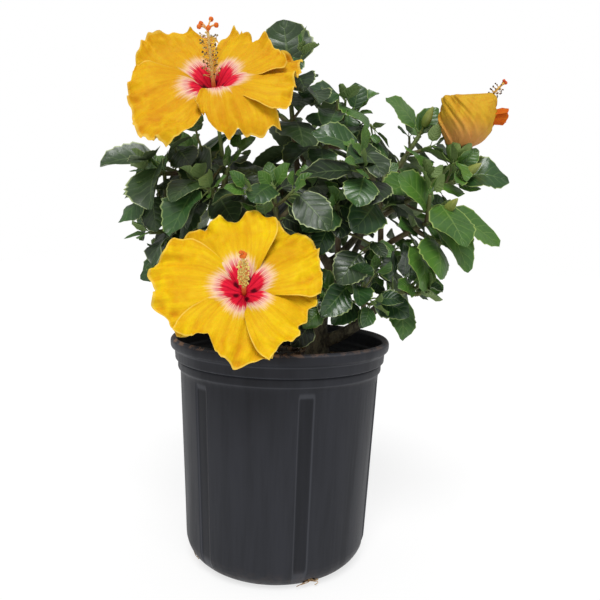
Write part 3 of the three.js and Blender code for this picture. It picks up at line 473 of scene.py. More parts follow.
class Graph:
    """Places and links the shader nodes of one tree."""

    def __init__(self, tree: bpy.types.NodeTree) -> None:
        """Takes the tree that the nodes go into."""
        self.tree = tree

    def feed(self, socket: bpy.types.NodeSocket, value: object) -> None:
        """Links a value to a socket, or sets the socket to a constant."""
        if isinstance(value, Value):
            self.tree.links.new(value.socket, socket)
        else:
            socket.default_value = value

    def node(self, kind: str, inputs: dict | None = None, **settings: object) -> bpy.types.Node:
        """Adds a node.

        Args:
            kind: the node's type, without its "ShaderNode" prefix.
            inputs: input name or number to a value, which is linked, or a constant.
            **settings: the node's own properties.

        Returns:
            The node.
        """
        made = self.tree.nodes.new("ShaderNode" + kind)
        for key, value in settings.items():
            setattr(made, key, value)
        for key, value in (inputs or {}).items():
            self.feed(made.inputs[key], value)
        return made

    def value(
        self, kind: str, inputs: dict | None = None, output: int | str = 0, **settings: object
    ) -> Value:
        """Adds a node and gives one of its outputs."""
        return Value(self, self.node(kind, inputs, **settings).outputs[output])

    def blend(self, share: object, a: object, b: object, kind: str = "MIX") -> Value:
        """Blend of two colours."""
        return self.value("Mix", {0: share, 6: a, 7: b}, 2, data_type="RGBA", blend_type=kind)


def mottle_pattern(given: dict[str, Value]) -> dict[str, Value]:
    """Uneven colour: two sizes of noise, whose middle values are spread out."""
    coarse = given["Vector"].noise(given["Scale"], 3.0)
    fine = given["Vector"].noise(given["Scale"] * 6.3, 2.0)
    return {"Fac": (coarse * 0.7 + fine * 0.3).ramp(0.34, 0.66)}


def leaf_pattern(given: dict[str, Value]) -> dict[str, Value]:
    """Veins of a leaf from its UV, which runs across the blade and from its base to its tip.

    A midrib that narrows to the tip, side veins that climb towards the margin, and a thin margin.

    Args:
        given: UV, place on the plant, and how many pairs of side veins there are.

    Returns:
        Masks of the veins and the margin, and the relief.
    """
    x, y, _ = given["UV"].axes()
    across = abs(x * 2.0 - 1.0)
    midrib = (across / y.ramp(0.0, 1.0, 0.085, 0.02)).ramp(0.35, 1.0, 1.0, 0.0)
    climb = y + given["Place"].noise(90.0) * 0.05 - across * 0.27
    off = abs((climb * given["Pairs"] + 8.0).fraction() - 0.5)
    veins = midrib.larger(off.ramp(0.4, 0.49) * across.ramp(0.2, 1.0, 0.75, 0.2))
    graph = x.graph
    cells = graph.value("TexVoronoi", {"Vector": given["Place"], "Scale": 420.0}, "Distance", feature="F1")
    relief = off.ramp(0.5, 0.1) * 0.8 + cells * -0.35 - veins * 0.5
    return {"Veins": veins, "Margin": across.ramp(0.9, 0.99), "Relief": relief}


def petal_pattern(given: dict[str, Value]) -> dict[str, Value]:
    """Eye, streaked fringe, dark spots, fine rays and pale margin of a petal from its UV.

    The UV runs across the petal and outwards. The eye ends in a rounded lobe with a streaky edge,
    the fringe fades out past it, and thin streaks run from the eye into the fringe.

    Args:
        given: UV, place on the plant, and how far out the eye reaches.

    Returns:
        Masks of the eye and all the rest, and the relief.
    """
    x, y, _ = given["UV"].axes()
    centred = x * 2.0 - 1.0
    square = centred * centred
    ray = given["UV"].stretched((24.0, 2.2, 0.0)).noise(1.0, 3.0)
    streak = given["UV"].stretched((48.0, 0.4, 0.0)).noise(1.0, 0.0)
    blotch = given["Place"].noise(60.0)
    lobe = given["Eye"] * (square * -1.05 + 1.0)
    beyond = y + (streak - 0.5) * 0.09 + (blotch - 0.5) * 0.05 - lobe
    sides = square.ramp(0.93, 0.98) * y.ramp(0.3, 0.6)
    return {
        "Eye": beyond.ramp(-0.03, 0.02, 1.0, 0.0),
        "Fringe": (beyond + (ray - 0.5) * 0.2).ramp(0.03, 0.17, 1.0, 0.0),
        "Streaks": streak.ramp(0.5, 0.6, 1.0, 0.0) * beyond.ramp(0.01, 0.09, 1.0, 0.0),
        "Spots": abs(y - 0.14).ramp(0.02, 0.06, 1.0, 0.0) * square.ramp(0.03, 0.16),
        "Rays": ray.ramp(0.4, 0.6),
        "Margin": y.ramp(0.965, 0.99).larger(sides),
        "Relief": ray + given["Place"].noise(190.0) * 0.7,
    }


class Pattern(Enum):
    """Shader groups that finishes share: each one's name, maker and inputs, None for a vector."""

    MOTTLE = ("mottle", mottle_pattern, {"Vector": None, "Scale": 40.0})
    LEAF = ("leaf pattern", leaf_pattern, {"UV": None, "Place": None, "Pairs": 6.0})
    PETAL = ("petal pattern", petal_pattern, {"UV": None, "Place": None, "Eye": 0.3})

    def tree(self) -> bpy.types.NodeTree:
        """The group, made at its first use; the masks that its maker gives are its outputs.

        Returns:
            The node tree.
        """
        name, maker, inputs = self.value
        tree = bpy.data.node_groups.get(name)
        if tree is not None:
            return tree
        tree = bpy.data.node_groups.new(name, "ShaderNodeTree")
        for key, value in inputs.items():
            kind = "NodeSocketVector" if value is None else "NodeSocketFloat"
            made = tree.interface.new_socket(name=key, in_out="INPUT", socket_type=kind)
            if value is not None:
                made.default_value = value
        graph, source = Graph(tree), tree.nodes.new("NodeGroupInput")
        masks = maker({key: Value(graph, source.outputs[key]) for key in inputs})
        for key in masks:
            tree.interface.new_socket(name=key, in_out="OUTPUT", socket_type="NodeSocketFloat")
        sink = tree.nodes.new("NodeGroupOutput")
        for key, mask in masks.items():
            graph.feed(sink.inputs[key], mask)
        return tree


class Surface(Graph):
    """The graph of a new material, round its Principled shader."""

    def __init__(self, name: str, **constants: object) -> None:
        """Makes the material.

        Args:
            name: its name.
            **constants: shader inputs that are the same all over, with _ for a space.
        """
        self.material = bpy.data.materials.new(name)
        self.material.use_nodes = True
        super().__init__(self.material.node_tree)
        self.shader = self.tree.nodes["Principled BSDF"]
        for key, value in constants.items():
            self.shader.inputs[key.replace("_", " ")].default_value = value

    def coords(self, kind: str = "Object") -> Value:
        """Object or UV coordinates."""
        return self.value("TexCoord", output=kind)

    def tint(self) -> Value:
        """The mesh's own tint."""
        return self.value("Attribute", output="Fac", attribute_name="tint")

    def pattern(self, pattern: Pattern, **inputs: object) -> dict[str, Value]:
        """Puts a shared group in and gives its outputs by name."""
        made = self.node("Group", inputs, node_tree=pattern.tree())
        return {socket.name: Value(self, socket) for socket in made.outputs}

    def mottle(self, place: Value, scale: float) -> Value:
        """Uneven colour at the given coordinates."""
        return self.pattern(Pattern.MOTTLE, Vector=place, Scale=scale)["Fac"]

    def finished(self, colour: Value, rough: Value, height: Value, depth: float) -> bpy.types.Material:
        """Feeds the shader.

        Args:
            colour: the base colour.
            rough: the roughness.
            height: relief from about 0 to 1.
            depth: millimetres that the relief stands for.

        Returns:
            The material.
        """
        bump = self.value("Bump", {"Height": height, "Strength": 0.8, "Distance": depth * MM}, "Normal")
        for key, value in (("Base Color", colour), ("Roughness", rough), ("Normal", bump)):
            self.feed(self.shader.inputs[key], value)
        return self.material


class Finish:
    """What a surface looks like; each kind of finish makes its own material."""

    def material(self) -> bpy.types.Material:
        """Builds the material."""
        raise NotImplementedError


@dataclass(frozen=True)
class TintedFinish(Finish):
    """A finish that blends two colours by the mesh's tint, with uneven colour and fine relief."""

    name: str
    low: tuple
    high: tuple
    roughness: float = 0.6
    scale: float = 60.0
    uneven: float = 0.4
    relief: float = 0.3
    stretch: float = 1.0

    def material(self) -> bpy.types.Material:
        """Builds the material."""
        surface = Surface(self.name)
        place = surface.coords().stretched((1.0, 1.0, 1.0 / self.stretch))
        mottle = surface.mottle(place, self.scale)
        fine = place.noise(self.scale * 14, 3.0)
        share = (surface.tint() + (mottle - 0.5) * self.uneven).clamped()
        grey = surface.blend(fine, (0, 0, 0, 1), (1, 1, 1, 1))
        colour = surface.blend(share, self.low, self.high)
        colour = surface.blend(0.35 * self.uneven, colour, grey, "OVERLAY")
        rough = fine.ramp(0.2, 0.8, self.roughness - 0.08, self.roughness + 0.08)
        return surface.finished(colour, rough, mottle * 0.6 + fine * 0.4, self.relief)


@dataclass(frozen=True)
class LeafFinish(Finish):
    """One side of a leaf."""

    name: str
    body: tuple
    shade: tuple
    vein: tuple
    margin: tuple
    roughness: float = 0.4
    relief: float = 0.3

    def material(self) -> bpy.types.Material:
        """Builds the material."""
        surface = Surface(self.name, Specular_IOR_Level=0.6)
        place = surface.coords()
        pattern = surface.pattern(Pattern.LEAF, UV=surface.coords("UV"), Place=place)
        mottle = surface.mottle(place, 34.0)
        # The tint is random tone plus painted shade for leaves deep in the crown; it blends the body towards
        # the shade colour.
        colour = surface.blend(mottle * 0.45 + surface.tint() * 0.55, self.body, self.shade)
        colour = surface.blend(pattern["Veins"] * 0.48, colour, self.vein)
        colour = surface.blend(pattern["Margin"] * 0.95, colour, self.margin)
        rough = mottle.ramp(0.0, 1.0, self.roughness - 0.06, self.roughness + 0.1)
        return surface.finished(colour, rough, pattern["Relief"], self.relief)


@dataclass(frozen=True)
class PetalFinish(Finish):
    """One side of a petal: body with rays and painted shade in its creases, and on the upper side the eye and
    its fringe.
    """

    name: str
    body: tuple
    deep_and_crease_shade: tuple
    pale: tuple
    eye: float = 0.0
    base: tuple | None = None

    def material(self) -> bpy.types.Material:
        """Builds the material."""
        soft = {"Subsurface_Weight": 0.08, "Subsurface_Scale": 2 * MM}
        surface = Surface(self.name, Specular_IOR_Level=0.12, **soft)
        place, uv = surface.coords(), surface.coords("UV")
        pattern = surface.pattern(Pattern.PETAL, UV=uv, Place=place, Eye=self.eye)
        mottle = surface.mottle(place, 26.0)
        # Painted shade: places that stand low among the petal's creases (low tint) take the deep colour.
        crest = surface.tint() * -1.0 + 1.0
        share = (pattern["Rays"] * 0.22 + mottle * 0.34 + crest * 0.9 - 0.22).clamped()
        colour = surface.blend(share, self.body, self.deep_and_crease_shade)
        if self.base:
            colour = surface.blend(uv.axes()[1].ramp(0.1, 0.4, 0.8, 0.0), colour, self.base)
        if self.eye > 0:
            red = surface.blend(pattern["Rays"], srgb(228, 32, 60), srgb(188, 12, 46))
            colour = surface.blend(pattern["Fringe"] * 0.9, colour, srgb(236, 202, 176))
            colour = surface.blend(pattern["Streaks"] * 0.7, colour, srgb(204, 62, 100))
            colour = surface.blend(pattern["Eye"], colour, red)
            colour = surface.blend(pattern["Spots"] * 0.9, colour, srgb(58, 0, 16))
        colour = surface.blend(pattern["Margin"] * 0.7, colour, self.pale)
        return surface.finished(colour, mottle.ramp(0.0, 1.0, 0.6, 0.72), pattern["Relief"], 1.2)


@dataclass(frozen=True)
class PotFinish(Finish):
    """Charcoal plastic with faint upright streaks, fine grain, and soil dust on its lip.

    The mesh's tint carries painted light: painted shade where channels are sunk (under 0.5), and a painted
    highlight on their sloping sides and on lines round the lip (over).
    """

    name: str = "charcoal_plastic"
    body: tuple = srgb(46, 47, 52)
    streak: tuple = srgb(34, 35, 38)
    # The next two colours are painted shade in the sunk channels and a painted highlight on their edges and
    # the lip's lines.
    sunk: tuple = srgb(22, 23, 26)
    painted_light: tuple = srgb(80, 82, 88)
    dust: tuple = srgb(132, 104, 84)
    lip_height: float = 256.0

    def material(self) -> bpy.types.Material:
        """Builds the material."""
        surface = Surface(self.name, Specular_IOR_Level=0.1)
        place = surface.coords()
        x, _, z = place.axes()
        streaks = surface.mottle(place.stretched((1.0, 1.0, 0.06)), 46.0)
        on_lip = z.ramp(self.lip_height * MM, (self.lip_height + 3) * MM) * x.ramp(-0.03, 0.06, 1.0, 0.25)
        low_down = z.ramp(0.0, 34 * MM, 1.0, 0.0) * 0.08
        cover = on_lip.larger(low_down) * surface.mottle(place, 130.0).ramp(0.4, 0.75)
        tint = surface.tint()
        colour = surface.blend(streaks * 0.5, self.body, self.streak)
        # Painted shade on the channels' floors, then a painted highlight on their sloping sides and the lip's
        # lines, both set by the tint.
        colour = surface.blend(tint.ramp(0.0, 0.5, 0.4, 0.0), colour, self.sunk)
        colour = surface.blend(tint.ramp(0.5, 1.0, 0.0, 0.4), colour, self.painted_light)
        colour = surface.blend(cover, colour, self.dust)
        rough = streaks.ramp(0.0, 1.0, 0.4, 0.5) + cover * 0.4
        return surface.finished(colour, rough, place.noise(2600.0, 1.0) + cover * 2.0, 0.06)


# Pot


def rounded(points: Array, radius: float, steps: int = 4) -> Array:
    """An outline with its corners rounded.

    Each inner corner becomes a short quadratic curve that starts and ends `radius` away from it,
    or half way to its neighbour where that is nearer.

    Args:
        points: corners of the outline, shape (n, 2).
        radius: how far from a corner its curve starts.
        steps: points on each curve.

    Returns:
        The points of the new outline.
    """
    before, corner, after = points[:-2], points[1:-1], points[2:]
    t = np.linspace(0, 1, steps)[:, None]
    result = [points[:1]]
    for b, c, a in zip(before, corner, after):
        reach = [min(radius, 0.49 * np.linalg.norm(p - c)) for p in (b, a)]
        start = c + unit(b - c) * reach[0]
        end = c + unit(a - c) * reach[1]
        result.append((1 - t) ** 2 * start + 2 * t * (1 - t) * c + t * t * end)
    return np.concatenate([*result, points[-1:]])


@dataclass
class NurseryPot:
    """Blow-moulded pot: rolled lip, two-step collar, channelled body, round lower corner."""

    height: float = 260.0
    lip_radius: float = 127.0
    rim: tuple = (
        (116, 38), (118.5, 35), (118.5, 27.6), (117.6, 26.4), (121.5, 25), (122.3, 14), (126.2, 11.4),
        (127, 8), (127, 3), (124.6, 0), (122, 0), (119.1, 4), (119.1, 19), (117.9, 21), (117.7, 26),
        (115, 29), (113.6, 37),
    )
    body_top_radius: float = 116.0
    body_foot_radius: float = 106.5
    corner_radius: float = 31.0
    wall: float = 2.4
    channels: int = 6
    channel_phase: float = 16.0
    channel_depth: float = 1.8
    channel_half_width: float = 3.2
    channel_fade: float = 1.6
    drain_holes: int = 4
    drain_phase: float = 24.0
    drain_radius: float = 7.5
    unevenness: float = 0.3
    # Drops below the pot's top where lines of painted highlight run round the lip.
    rim_drops: tuple = (2.0, 14.5, 25.5, 35.5)

    def body_radius(self, z: Number) -> Number:
        """Outer radius of the tapered body at a height."""
        share = (z - self.corner_radius) / (self.height - 42 - self.corner_radius)
        return mix(self.body_foot_radius, self.body_top_radius - 0.6, share)

    def corner(self, inset: float, steps: int) -> list[list[float]]:
        """Points of the lower corner's arc, from the underside up, moved in by `inset`."""
        turn = np.linspace(0, math.pi / 2, steps)
        middle, radius = self.body_foot_radius - self.corner_radius, self.corner_radius - inset
        return stack(middle + radius * np.sin(turn), self.corner_radius - radius * np.cos(turn)).tolist()

    def body_rows(self, inset: float) -> list[list[float]]:
        """Points up the body, closer together where the channels fade."""
        rows = [40, 60, 90, 120, 150, 180, 200, 206, 210, 214, 218]
        return [[float(self.body_radius(z)) - inset, z] for z in rows]

    def outline(self) -> Array:
        """Radius and height from the middle of the underside, over the lip, to the floor inside."""
        foot = [[0.0, 0.0], [self.body_foot_radius - self.corner_radius - 12, 0.0]]
        rim = [[radius, self.height - drop] for radius, drop in self.rim]
        outer = np.array([*foot, *self.corner(0, 10), *self.body_rows(0), *rim])
        inset = self.wall
        down = np.array([*self.body_rows(inset)[::-1], *self.corner(inset, 6)[::-1], [0.0, inset]])
        return np.concatenate([rounded(outer, 1.5), down])

    def depth(self, angle: Array, z: Array) -> Array:
        """How deep the channels are: flat with sloping sides, and fading at both ends.

        Args:
            angle: turns from the front, in degrees.
            z: heights.

        Returns:
            Depths in millimetres.
        """
        pitch = 360 / self.channels
        turn = np.abs((angle - self.channel_phase + 1.5 * pitch) % pitch - pitch / 2)
        across = smoothstep(self.channel_half_width + self.channel_fade - turn, 0, self.channel_fade)
        ends = np.minimum(smoothstep(z, 3, 30), smoothstep(self.height - 40 - z, 0, 10))
        return self.channel_depth * across * ends

    def angles(self) -> Array:
        """Directions round the pot in degrees, closer together at the channels."""
        pitch = 360 / self.channels
        edge = self.channel_half_width + self.channel_fade + 1
        turns = np.concatenate([np.linspace(-edge, edge, 26), np.linspace(edge, pitch - edge, 20)[1:-1]])
        return (turns + np.arange(self.channels)[:, None] * pitch + self.channel_phase).ravel()

    def shell(self) -> Patch:
        """The pot's wall: the outline turned round the axis, less the channels, a little uneven, with a tint
        of painted light and shade.
        """
        outline = self.outline()
        radius, z = outline[1:-1, :1], outline[1:-1, 1:]
        angle = self.angles()
        sine, cosine = np.sin(np.radians(angle)), np.cos(np.radians(angle))
        wander = self.unevenness * fractal_noise(stack(sine * 2, cosine * 2, z / 90), 5, 2)
        depth = self.depth(angle, z)
        r = radius - depth + wander * smoothstep(z, 2, 30) - self.unevenness * 0.4
        patch = loft(stack(r * sine, -r * cosine, z), poles=(UP * outline[0, 1], UP * outline[-1, 1]))
        # The tint paints light: a painted highlight on the channels' sloping sides and on lines round the
        # lip, painted shade on the channels' floors.
        sunk = depth / self.channel_depth
        outside = np.arange(len(radius))[:, None] < np.argmax(outline[1:-1, 1])
        rim_highlight_lines = sum(smoothstep(1.3 - np.abs(z - self.height + drop), 0, 1) for drop in self.rim_drops)
        painted_light = 2.0 * sunk * (1 - sunk) - 0.5 * smoothstep(sunk, 0.8, 1.0) + 0.4 * rim_highlight_lines
        tint = 0.5 + painted_light * outside
        patch.tint[: tint.size] = tint.ravel()
        return patch

    def hole_place(self, number: int) -> tuple[Array, Array]:
        """Middle and outward direction of a drain hole."""
        turn = math.radians(self.drain_phase + number * 360 / self.drain_holes)
        way = vec([math.sin(turn), -math.cos(turn), 0])
        middle = way * (self.body_foot_radius - self.corner_radius * 0.42) + UP * self.corner_radius * 0.34
        return middle, unit(way - UP * 0.75)

    def build(self) -> None:
        """Makes the pot, with its drain holes cut through the lower corner."""
        pot = build_piece("nursery_pot", [self.shell()], [PotFinish()], ["pot"], 50)
        drills = []
        for number in range(self.drain_holes):
            middle, out = self.hole_place(number)
            drills.append(tube(middle + out * np.array([[-12.0], [0.0], [12.0]]), self.drain_radius, 20))
        points, quads, triangles = joined(drills)
        mesh = bpy.data.meshes.new("drain_drills")
        mesh.from_pydata(points.tolist(), [], [*quads.tolist(), *triangles.tolist()])
        cutter = new_object("drain_drills", mesh)
        cut = pot.modifiers.new("drain_holes", "BOOLEAN")
        cut.operation = "DIFFERENCE"
        cut.solver = "EXACT"
        cut.object = cutter
        settle(pot, 50)
        bpy.data.objects.remove(cutter)


# Potting mix


@dataclass
class PottingMix:
    """Dark mix that fills the pot to below its lip, with bark chips and perlite on top."""

    pot: NurseryPot
    top: float = 227.0
    mound: float = 5.0
    gap: float = 0.3
    chips: int = 460
    crumbs: int = 70
    wisps: int = 15
    seed: int = 71

    def edge(self) -> float:
        """Radius at which the top meets the wall."""
        return float(self.pot.body_radius(self.top)) - self.pot.wall - self.gap - 1

    def height(self, x: Array, y: Array) -> Array:
        """Height of the top: a low mound with lumps from noise, which are level round the trunk."""
        rise = self.mound * (1 - smoothstep(np.hypot(x, y) / self.edge(), 0.55, 1.0))
        lumps = fractal_noise(stack(x / 13, y / 13, 0), self.seed, 4)
        level = 1 - smoothstep(-np.hypot(x - 44, y - 2), -24, -14)
        return self.top + rise + 1.5 * lumps * level - 0.4

    def body(self) -> Patch:
        """The fill: rings of the lumpy top, then straight down inside the wall to the floor."""
        turn = even_turns(144)
        radii = (self.edge() * np.linspace(0.02, 1, 52))[:, None]
        x, y = radii * np.cos(turn), radii * np.sin(turn)
        inset = self.pot.wall + self.gap + 1
        rows = [[float(self.pot.body_radius(z)) - inset - 1.8, z] for z in (200.0, 120.0, 45.0)]
        rows = np.array(rows + self.pot.corner(inset + 1.5, 5)[::-1])
        side = stack(rows[:, :1] * np.cos(turn), rows[:, :1] * np.sin(turn), rows[:, 1:])
        return loft(np.concatenate([stack(x, y, self.height(x, y)), side]))

    def scatter(self, count: int, random: Random) -> Array:
        """Places on the top, spread evenly, clear of the wall."""
        radius = (self.edge() - 4) * np.sqrt(random.random(count))
        turn = random.random(count) * 2 * math.pi
        x, y = radius * np.cos(turn), radius * np.sin(turn)
        return stack(x, y, self.height(x, y))

    def chip_patch(self, random: Random) -> Patch:
        """Bark chips: boxes with uneven corners, turned at random and half sunk in the mix."""
        count = self.chips
        corners = np.array(list(np.ndindex(2, 2, 2))) - 0.5
        long, wide = mix(4, 12, random.random(count) ** 2), mix(2.5, 6, random.random(count))
        size = stack(long, wide, mix(1, 2.6, random.random(count)))
        boxes = (corners + 0.16 * random.normal(size=(count, 8, 3))) * size[:, None]
        heading = random.random(count) * 2 * math.pi
        pitch = random.normal(size=count) * 0.3
        forward = stack(np.cos(heading) * np.cos(pitch), np.sin(heading) * np.cos(pitch), np.sin(pitch))
        side = unit(np.cross(forward, UP))
        frames = np.stack([forward, side, np.cross(side, forward)], axis=1)
        points = np.einsum("nij,njk->nik", boxes, frames) + self.scatter(count, random)[:, None]
        faces = [[0, 1, 3, 2], [4, 6, 7, 5], [0, 4, 5, 1], [2, 3, 7, 6], [0, 2, 6, 4], [1, 5, 7, 3]]
        quads = (np.array(faces) + 8 * np.arange(count)[:, None, None]).reshape(-1, 4)
        tint = np.repeat(random.random(count), 8)
        uv = np.zeros((len(tint), 2))
        return outward(Patch(points.reshape(-1, 3), quads, np.zeros((0, 3), int), uv, tint))

    def crumb_patches(self, random: Random) -> list[Patch]:
        """Perlite: small pale bumpy balls."""
        places = enumerate(self.scatter(self.crumbs, random) + UP * 0.4)
        return [bead(p, mix(0.9, 2.2, random.random()), 300 + i, rough=0.3) for i, p in places]

    def wisp_patches(self, random: Random) -> list[Patch]:
        """Fine roots that curl out of the drain holes."""
        patches = []
        for hole in range(self.pot.drain_holes):
            middle, out = self.pot.hole_place(hole)
            side = unit(np.cross(out, UP))
            for _ in range(self.wisps):
                a, b, c = random.normal(size=3)
                start = middle - out * 6 + side * a * 2.5 + UP * b * 2
                end = start + out * 10.5 + side * c * 7 + UP * mix(-2, 17, random.random())
                path = [start, start + out * 8, start + out * 13 + side * b * 6 + UP * 6, end]
                patches.append(tube(bezier(path, 11), 0.5, 4, float(random.random())))
        return patches

    def build(self) -> None:
        """Makes the fill, the chips, the perlite and the root wisps."""
        random = np.random.default_rng(self.seed)
        soil = TintedFinish("dark_mix", srgb(36, 28, 23), srgb(66, 50, 38), 0.92, 90, 1.0, 0.9)
        chip = TintedFinish("bark_chips", srgb(58, 42, 31), srgb(142, 112, 84), 0.85, 150, 0.4, 0.4, 1)
        crumb = TintedFinish("perlite", srgb(196, 192, 182), srgb(226, 224, 218), 0.8, 200, 0.3, 0.2)
        root = TintedFinish("fine_roots", srgb(120, 88, 56), srgb(186, 154, 110), 0.8, 150, 0.4, 0.1)
        for name, patches, finish, crease in (
            ("mix_fill", [self.body()], soil, SMOOTH),
            ("mix_chips", [self.chip_patch(random)], chip, 30),
            ("mix_perlite", self.crumb_patches(random), crumb, 60),
            ("root_wisps", self.wisp_patches(random), root, SMOOTH),
        ):
            build_piece(name, patches, [finish], ["potting_mix"], crease)


# Trunk and boughs


@dataclass
class Limb:
    """A tapering limb along a parabola whose middle is pulled aside by half of its bow."""

    start: Array
    tip: Array
    bow: Array
    radii: tuple[float, float]
    flare: float = 0.0
    flare_height: float = 16.0

    def at(self, t: Number) -> Array:
        """Centre at shares of the length."""
        t = np.asarray(t, float)[..., None]
        first = (self.tip - self.start) / 2 + self.bow
        return self.start + first * 2 * t * (1 - t) + (self.tip - self.start) * t * t

    def along(self, t: Number) -> Array:
        """Direction at shares of the length."""
        t = np.asarray(t, float)[..., None]
        half = (self.tip - self.start) / 2
        return unit((half + self.bow) * (1 - t) + (half - self.bow) * t)

    def across(self, t: Number) -> tuple[Array, Array]:
        """Two directions square to the limb and to each other."""
        return crosswise(self.along(t), helper_for(self.tip - self.start))

    def spoke(self, t: float, turn: float) -> Array:
        """The direction square to the limb that is turned round it by so much."""
        return spoke(*self.across(t), turn)

    def radius(self, t: Number) -> Array:
        """Radius at shares of the length."""
        flared = self.flare * np.exp(-np.asarray(t) * (self.tip[2] - self.start[2]) / self.flare_height)
        return mix(*self.radii, np.asarray(t, float)) + flared

    def samples(self) -> Array:
        """Thirteen points that stand for the limb when room is looked for."""
        return self.at(np.arange(13) / 12)

    def solid(self, sides: int, step: float, joints: Sequence[float] = ()) -> Patch:
        """The limb as a tube, tinted from 0 to 1 along it.

        Args:
            sides: points in a ring.
            step: distance from ring to ring.
            joints: shares of the length where it swells a little.

        Returns:
            The patch.
        """
        span = length(self.tip - self.start)
        t = np.linspace(0, 1, max(4, round(span / step)) + 1)
        radius = self.radius(t)
        if len(joints):
            near = np.abs(t[:, None] - vec(joints)).min(axis=1) * span
            radius = radius * (1 + 0.28 * np.exp(-((near / 1.6) ** 2)))
        side, other = self.across(t)
        spokes = spoke(side[:, None], other[:, None], even_turns(sides))
        return loft(self.at(t)[:, None] + spokes * radius[:, None, None], t)


@dataclass(frozen=True)
class BoughPlan:
    """Where a bough grows: its parent, the share of the parent's length, tip, bow and radii."""

    name: str
    parent: str
    at: float
    tip: tuple
    bow: tuple
    radii: tuple


BOUGHS = [
    BoughPlan("bough_right_low", "trunk", 0.16, (112, -14, 299), (4, 0, -12), (8.5, 4.6)),
    BoughPlan("bough_right_middle", "trunk", 0.74, (121, -24, 372), (2, -4, -6), (5.4, 3.6)),
    BoughPlan("bough_right_top", "trunk", 0.97, (116, 8, 430), (6, 2, -12), (5, 3.2)),
    BoughPlan("bough_top", "trunk", 0.9, (16, 2, 442), (-10, 4, -6), (5, 3.2)),
    BoughPlan("bough_left", "trunk", 0.2, (-66, -6, 352), (0, -4, -16), (8, 4.2)),
    BoughPlan("bough_left_top", "bough_left", 0.6, (-62, -26, 420), (-10, -6, 8), (4.6, 3.2)),
    BoughPlan("bough_front", "trunk", 0.44, (4, -58, 352), (4, -6, -12), (5.6, 3.4)),
    BoughPlan("bough_middle", "trunk", 0.6, (62, -36, 362), (4, -8, -10), (4.6, 3.2)),
    BoughPlan("bough_back", "trunk", 0.52, (24, 70, 388), (4, 10, -14), (6, 3.6)),
    BoughPlan("bough_back_right", "trunk", 0.66, (98, 66, 384), (8, 8, -12), (5, 3.4)),
    BoughPlan("bough_back_left", "bough_left", 0.42, (-62, 62, 384), (-4, 10, -12), (5, 3.4)),
]


@dataclass
class WoodyFrame:
    """Trunk with root flare and the boughs that grow from it, in one skin of bark."""

    foot: tuple = (44, 2, 232.3)
    trunk_tip: tuple = (58, 4, 352)
    trunk_bow: tuple = (-7, 0, 0)
    trunk_radii: tuple = (11, 6)
    trunk_flare: float = 7.0
    voxel: float = 1.0
    relief: float = 0.45
    limbs: dict[str, Limb] = field(default_factory=dict)

    def __post_init__(self) -> None:
        """Works out every limb."""
        places = [vec(p) for p in (self.foot, self.trunk_tip, self.trunk_bow)]
        self.limbs["trunk"] = Limb(*places, self.trunk_radii, self.trunk_flare)
        for plan in BOUGHS:
            start = self.limbs[plan.parent].at(plan.at)
            self.limbs[plan.name] = Limb(start, vec(plan.tip), vec(plan.bow), plan.radii)

    def bark_relief(self, points: Array) -> Array:
        """Height of the bark: long wrinkles, small scales and a few raised pores."""
        wrinkles = fractal_noise(points / vec([3.4, 3.4, 9.0]), 41, 3)
        scales = 1 - np.abs(fractal_noise(points / 2.1, 47, 2))
        pores = smoothstep(lattice_noise(points / vec([2.6, 2.6, 1.8]), 53), 0.5, 0.8)
        return self.relief * (0.7 * wrinkles + 0.4 * scales - 0.4) + 0.35 * pores

    def build(self) -> None:
        """Joins the limbs, remeshes them into one skin and presses the bark's relief into it."""
        finish = TintedFinish("bark", srgb(62, 57, 46), srgb(118, 112, 90), 0.82, 85, 1.0, 0.5, 2.2)
        patches = [limb.solid(18, 4.0) for limb in self.limbs.values()]
        bark = build_piece("bark", patches, [finish], list(self.limbs), SMOOTH)
        remesh = bark.modifiers.new("one_skin", "REMESH")
        remesh.mode = "VOXEL"
        remesh.voxel_size = self.voxel * MM
        soften = bark.modifiers.new("soften", "SMOOTH")
        soften.iterations = 5
        soften.factor = 0.5
        settle(bark, SMOOTH)
        mesh = bark.data
        points, normals = np.empty((2, len(mesh.vertices) * 3))
        mesh.vertices.foreach_get("co", points)
        mesh.vertices.foreach_get("normal", normals)
        points, normals = points.reshape(-1, 3) / MM, normals.reshape(-1, 3)
        calm = smoothstep(points[:, 2], self.foot[2] - 1, self.foot[2] + 4)
        points += normals * (self.bark_relief(points) * calm)[:, None]
        mesh.vertices.foreach_set("co", (points * MM).ravel())
        tints = mesh.attributes.get("tint") or mesh.attributes.new("tint", "FLOAT", "POINT")
        tints.data.foreach_set("value", smoothstep(self.bark_relief(points), -0.4, 0.5))
        mesh.update()
        LOG.info("bark after remesh: %d faces", len(mesh.polygons))


# Foliage


class LeafAge(Enum):
    """Ages of leaves, which differ in colour and gloss."""

    MATURE = "mature"
    GREEN = "green"
    YOUNG = "young"


@dataclass(frozen=True)
class MassPlan:
    """One mass of foliage.

    Attributes:
        name: its node in the frame.
        bough: the bough that carries its leading shoot.
        at: share of the bough's length where the shoot starts.
        tip: where the shoot ends.
        seed: start of its random numbers.
        twigs: side twigs as (share along the shoot, turn round it in degrees, length).
        leaves: how many leaves grow on the shoot and on each side twig.
        blade: length of a full-grown blade.
        reach: how far from the mass's middle its leaves may go.
        lead: leaves that set the crown's outline, as (share along the shoot, tip x, y, z, blade
            length, how far it turns to the front).
        age: age of most of its leaves.
        buds: buds at the shoot's end.
    """

    name: str
    bough: str
    at: float
    tip: tuple
    seed: int
    twigs: tuple
    leaves: tuple
    blade: float
    reach: float
    lead: tuple = ()
    age: LeafAge = LeafAge.MATURE
    buds: int = 0


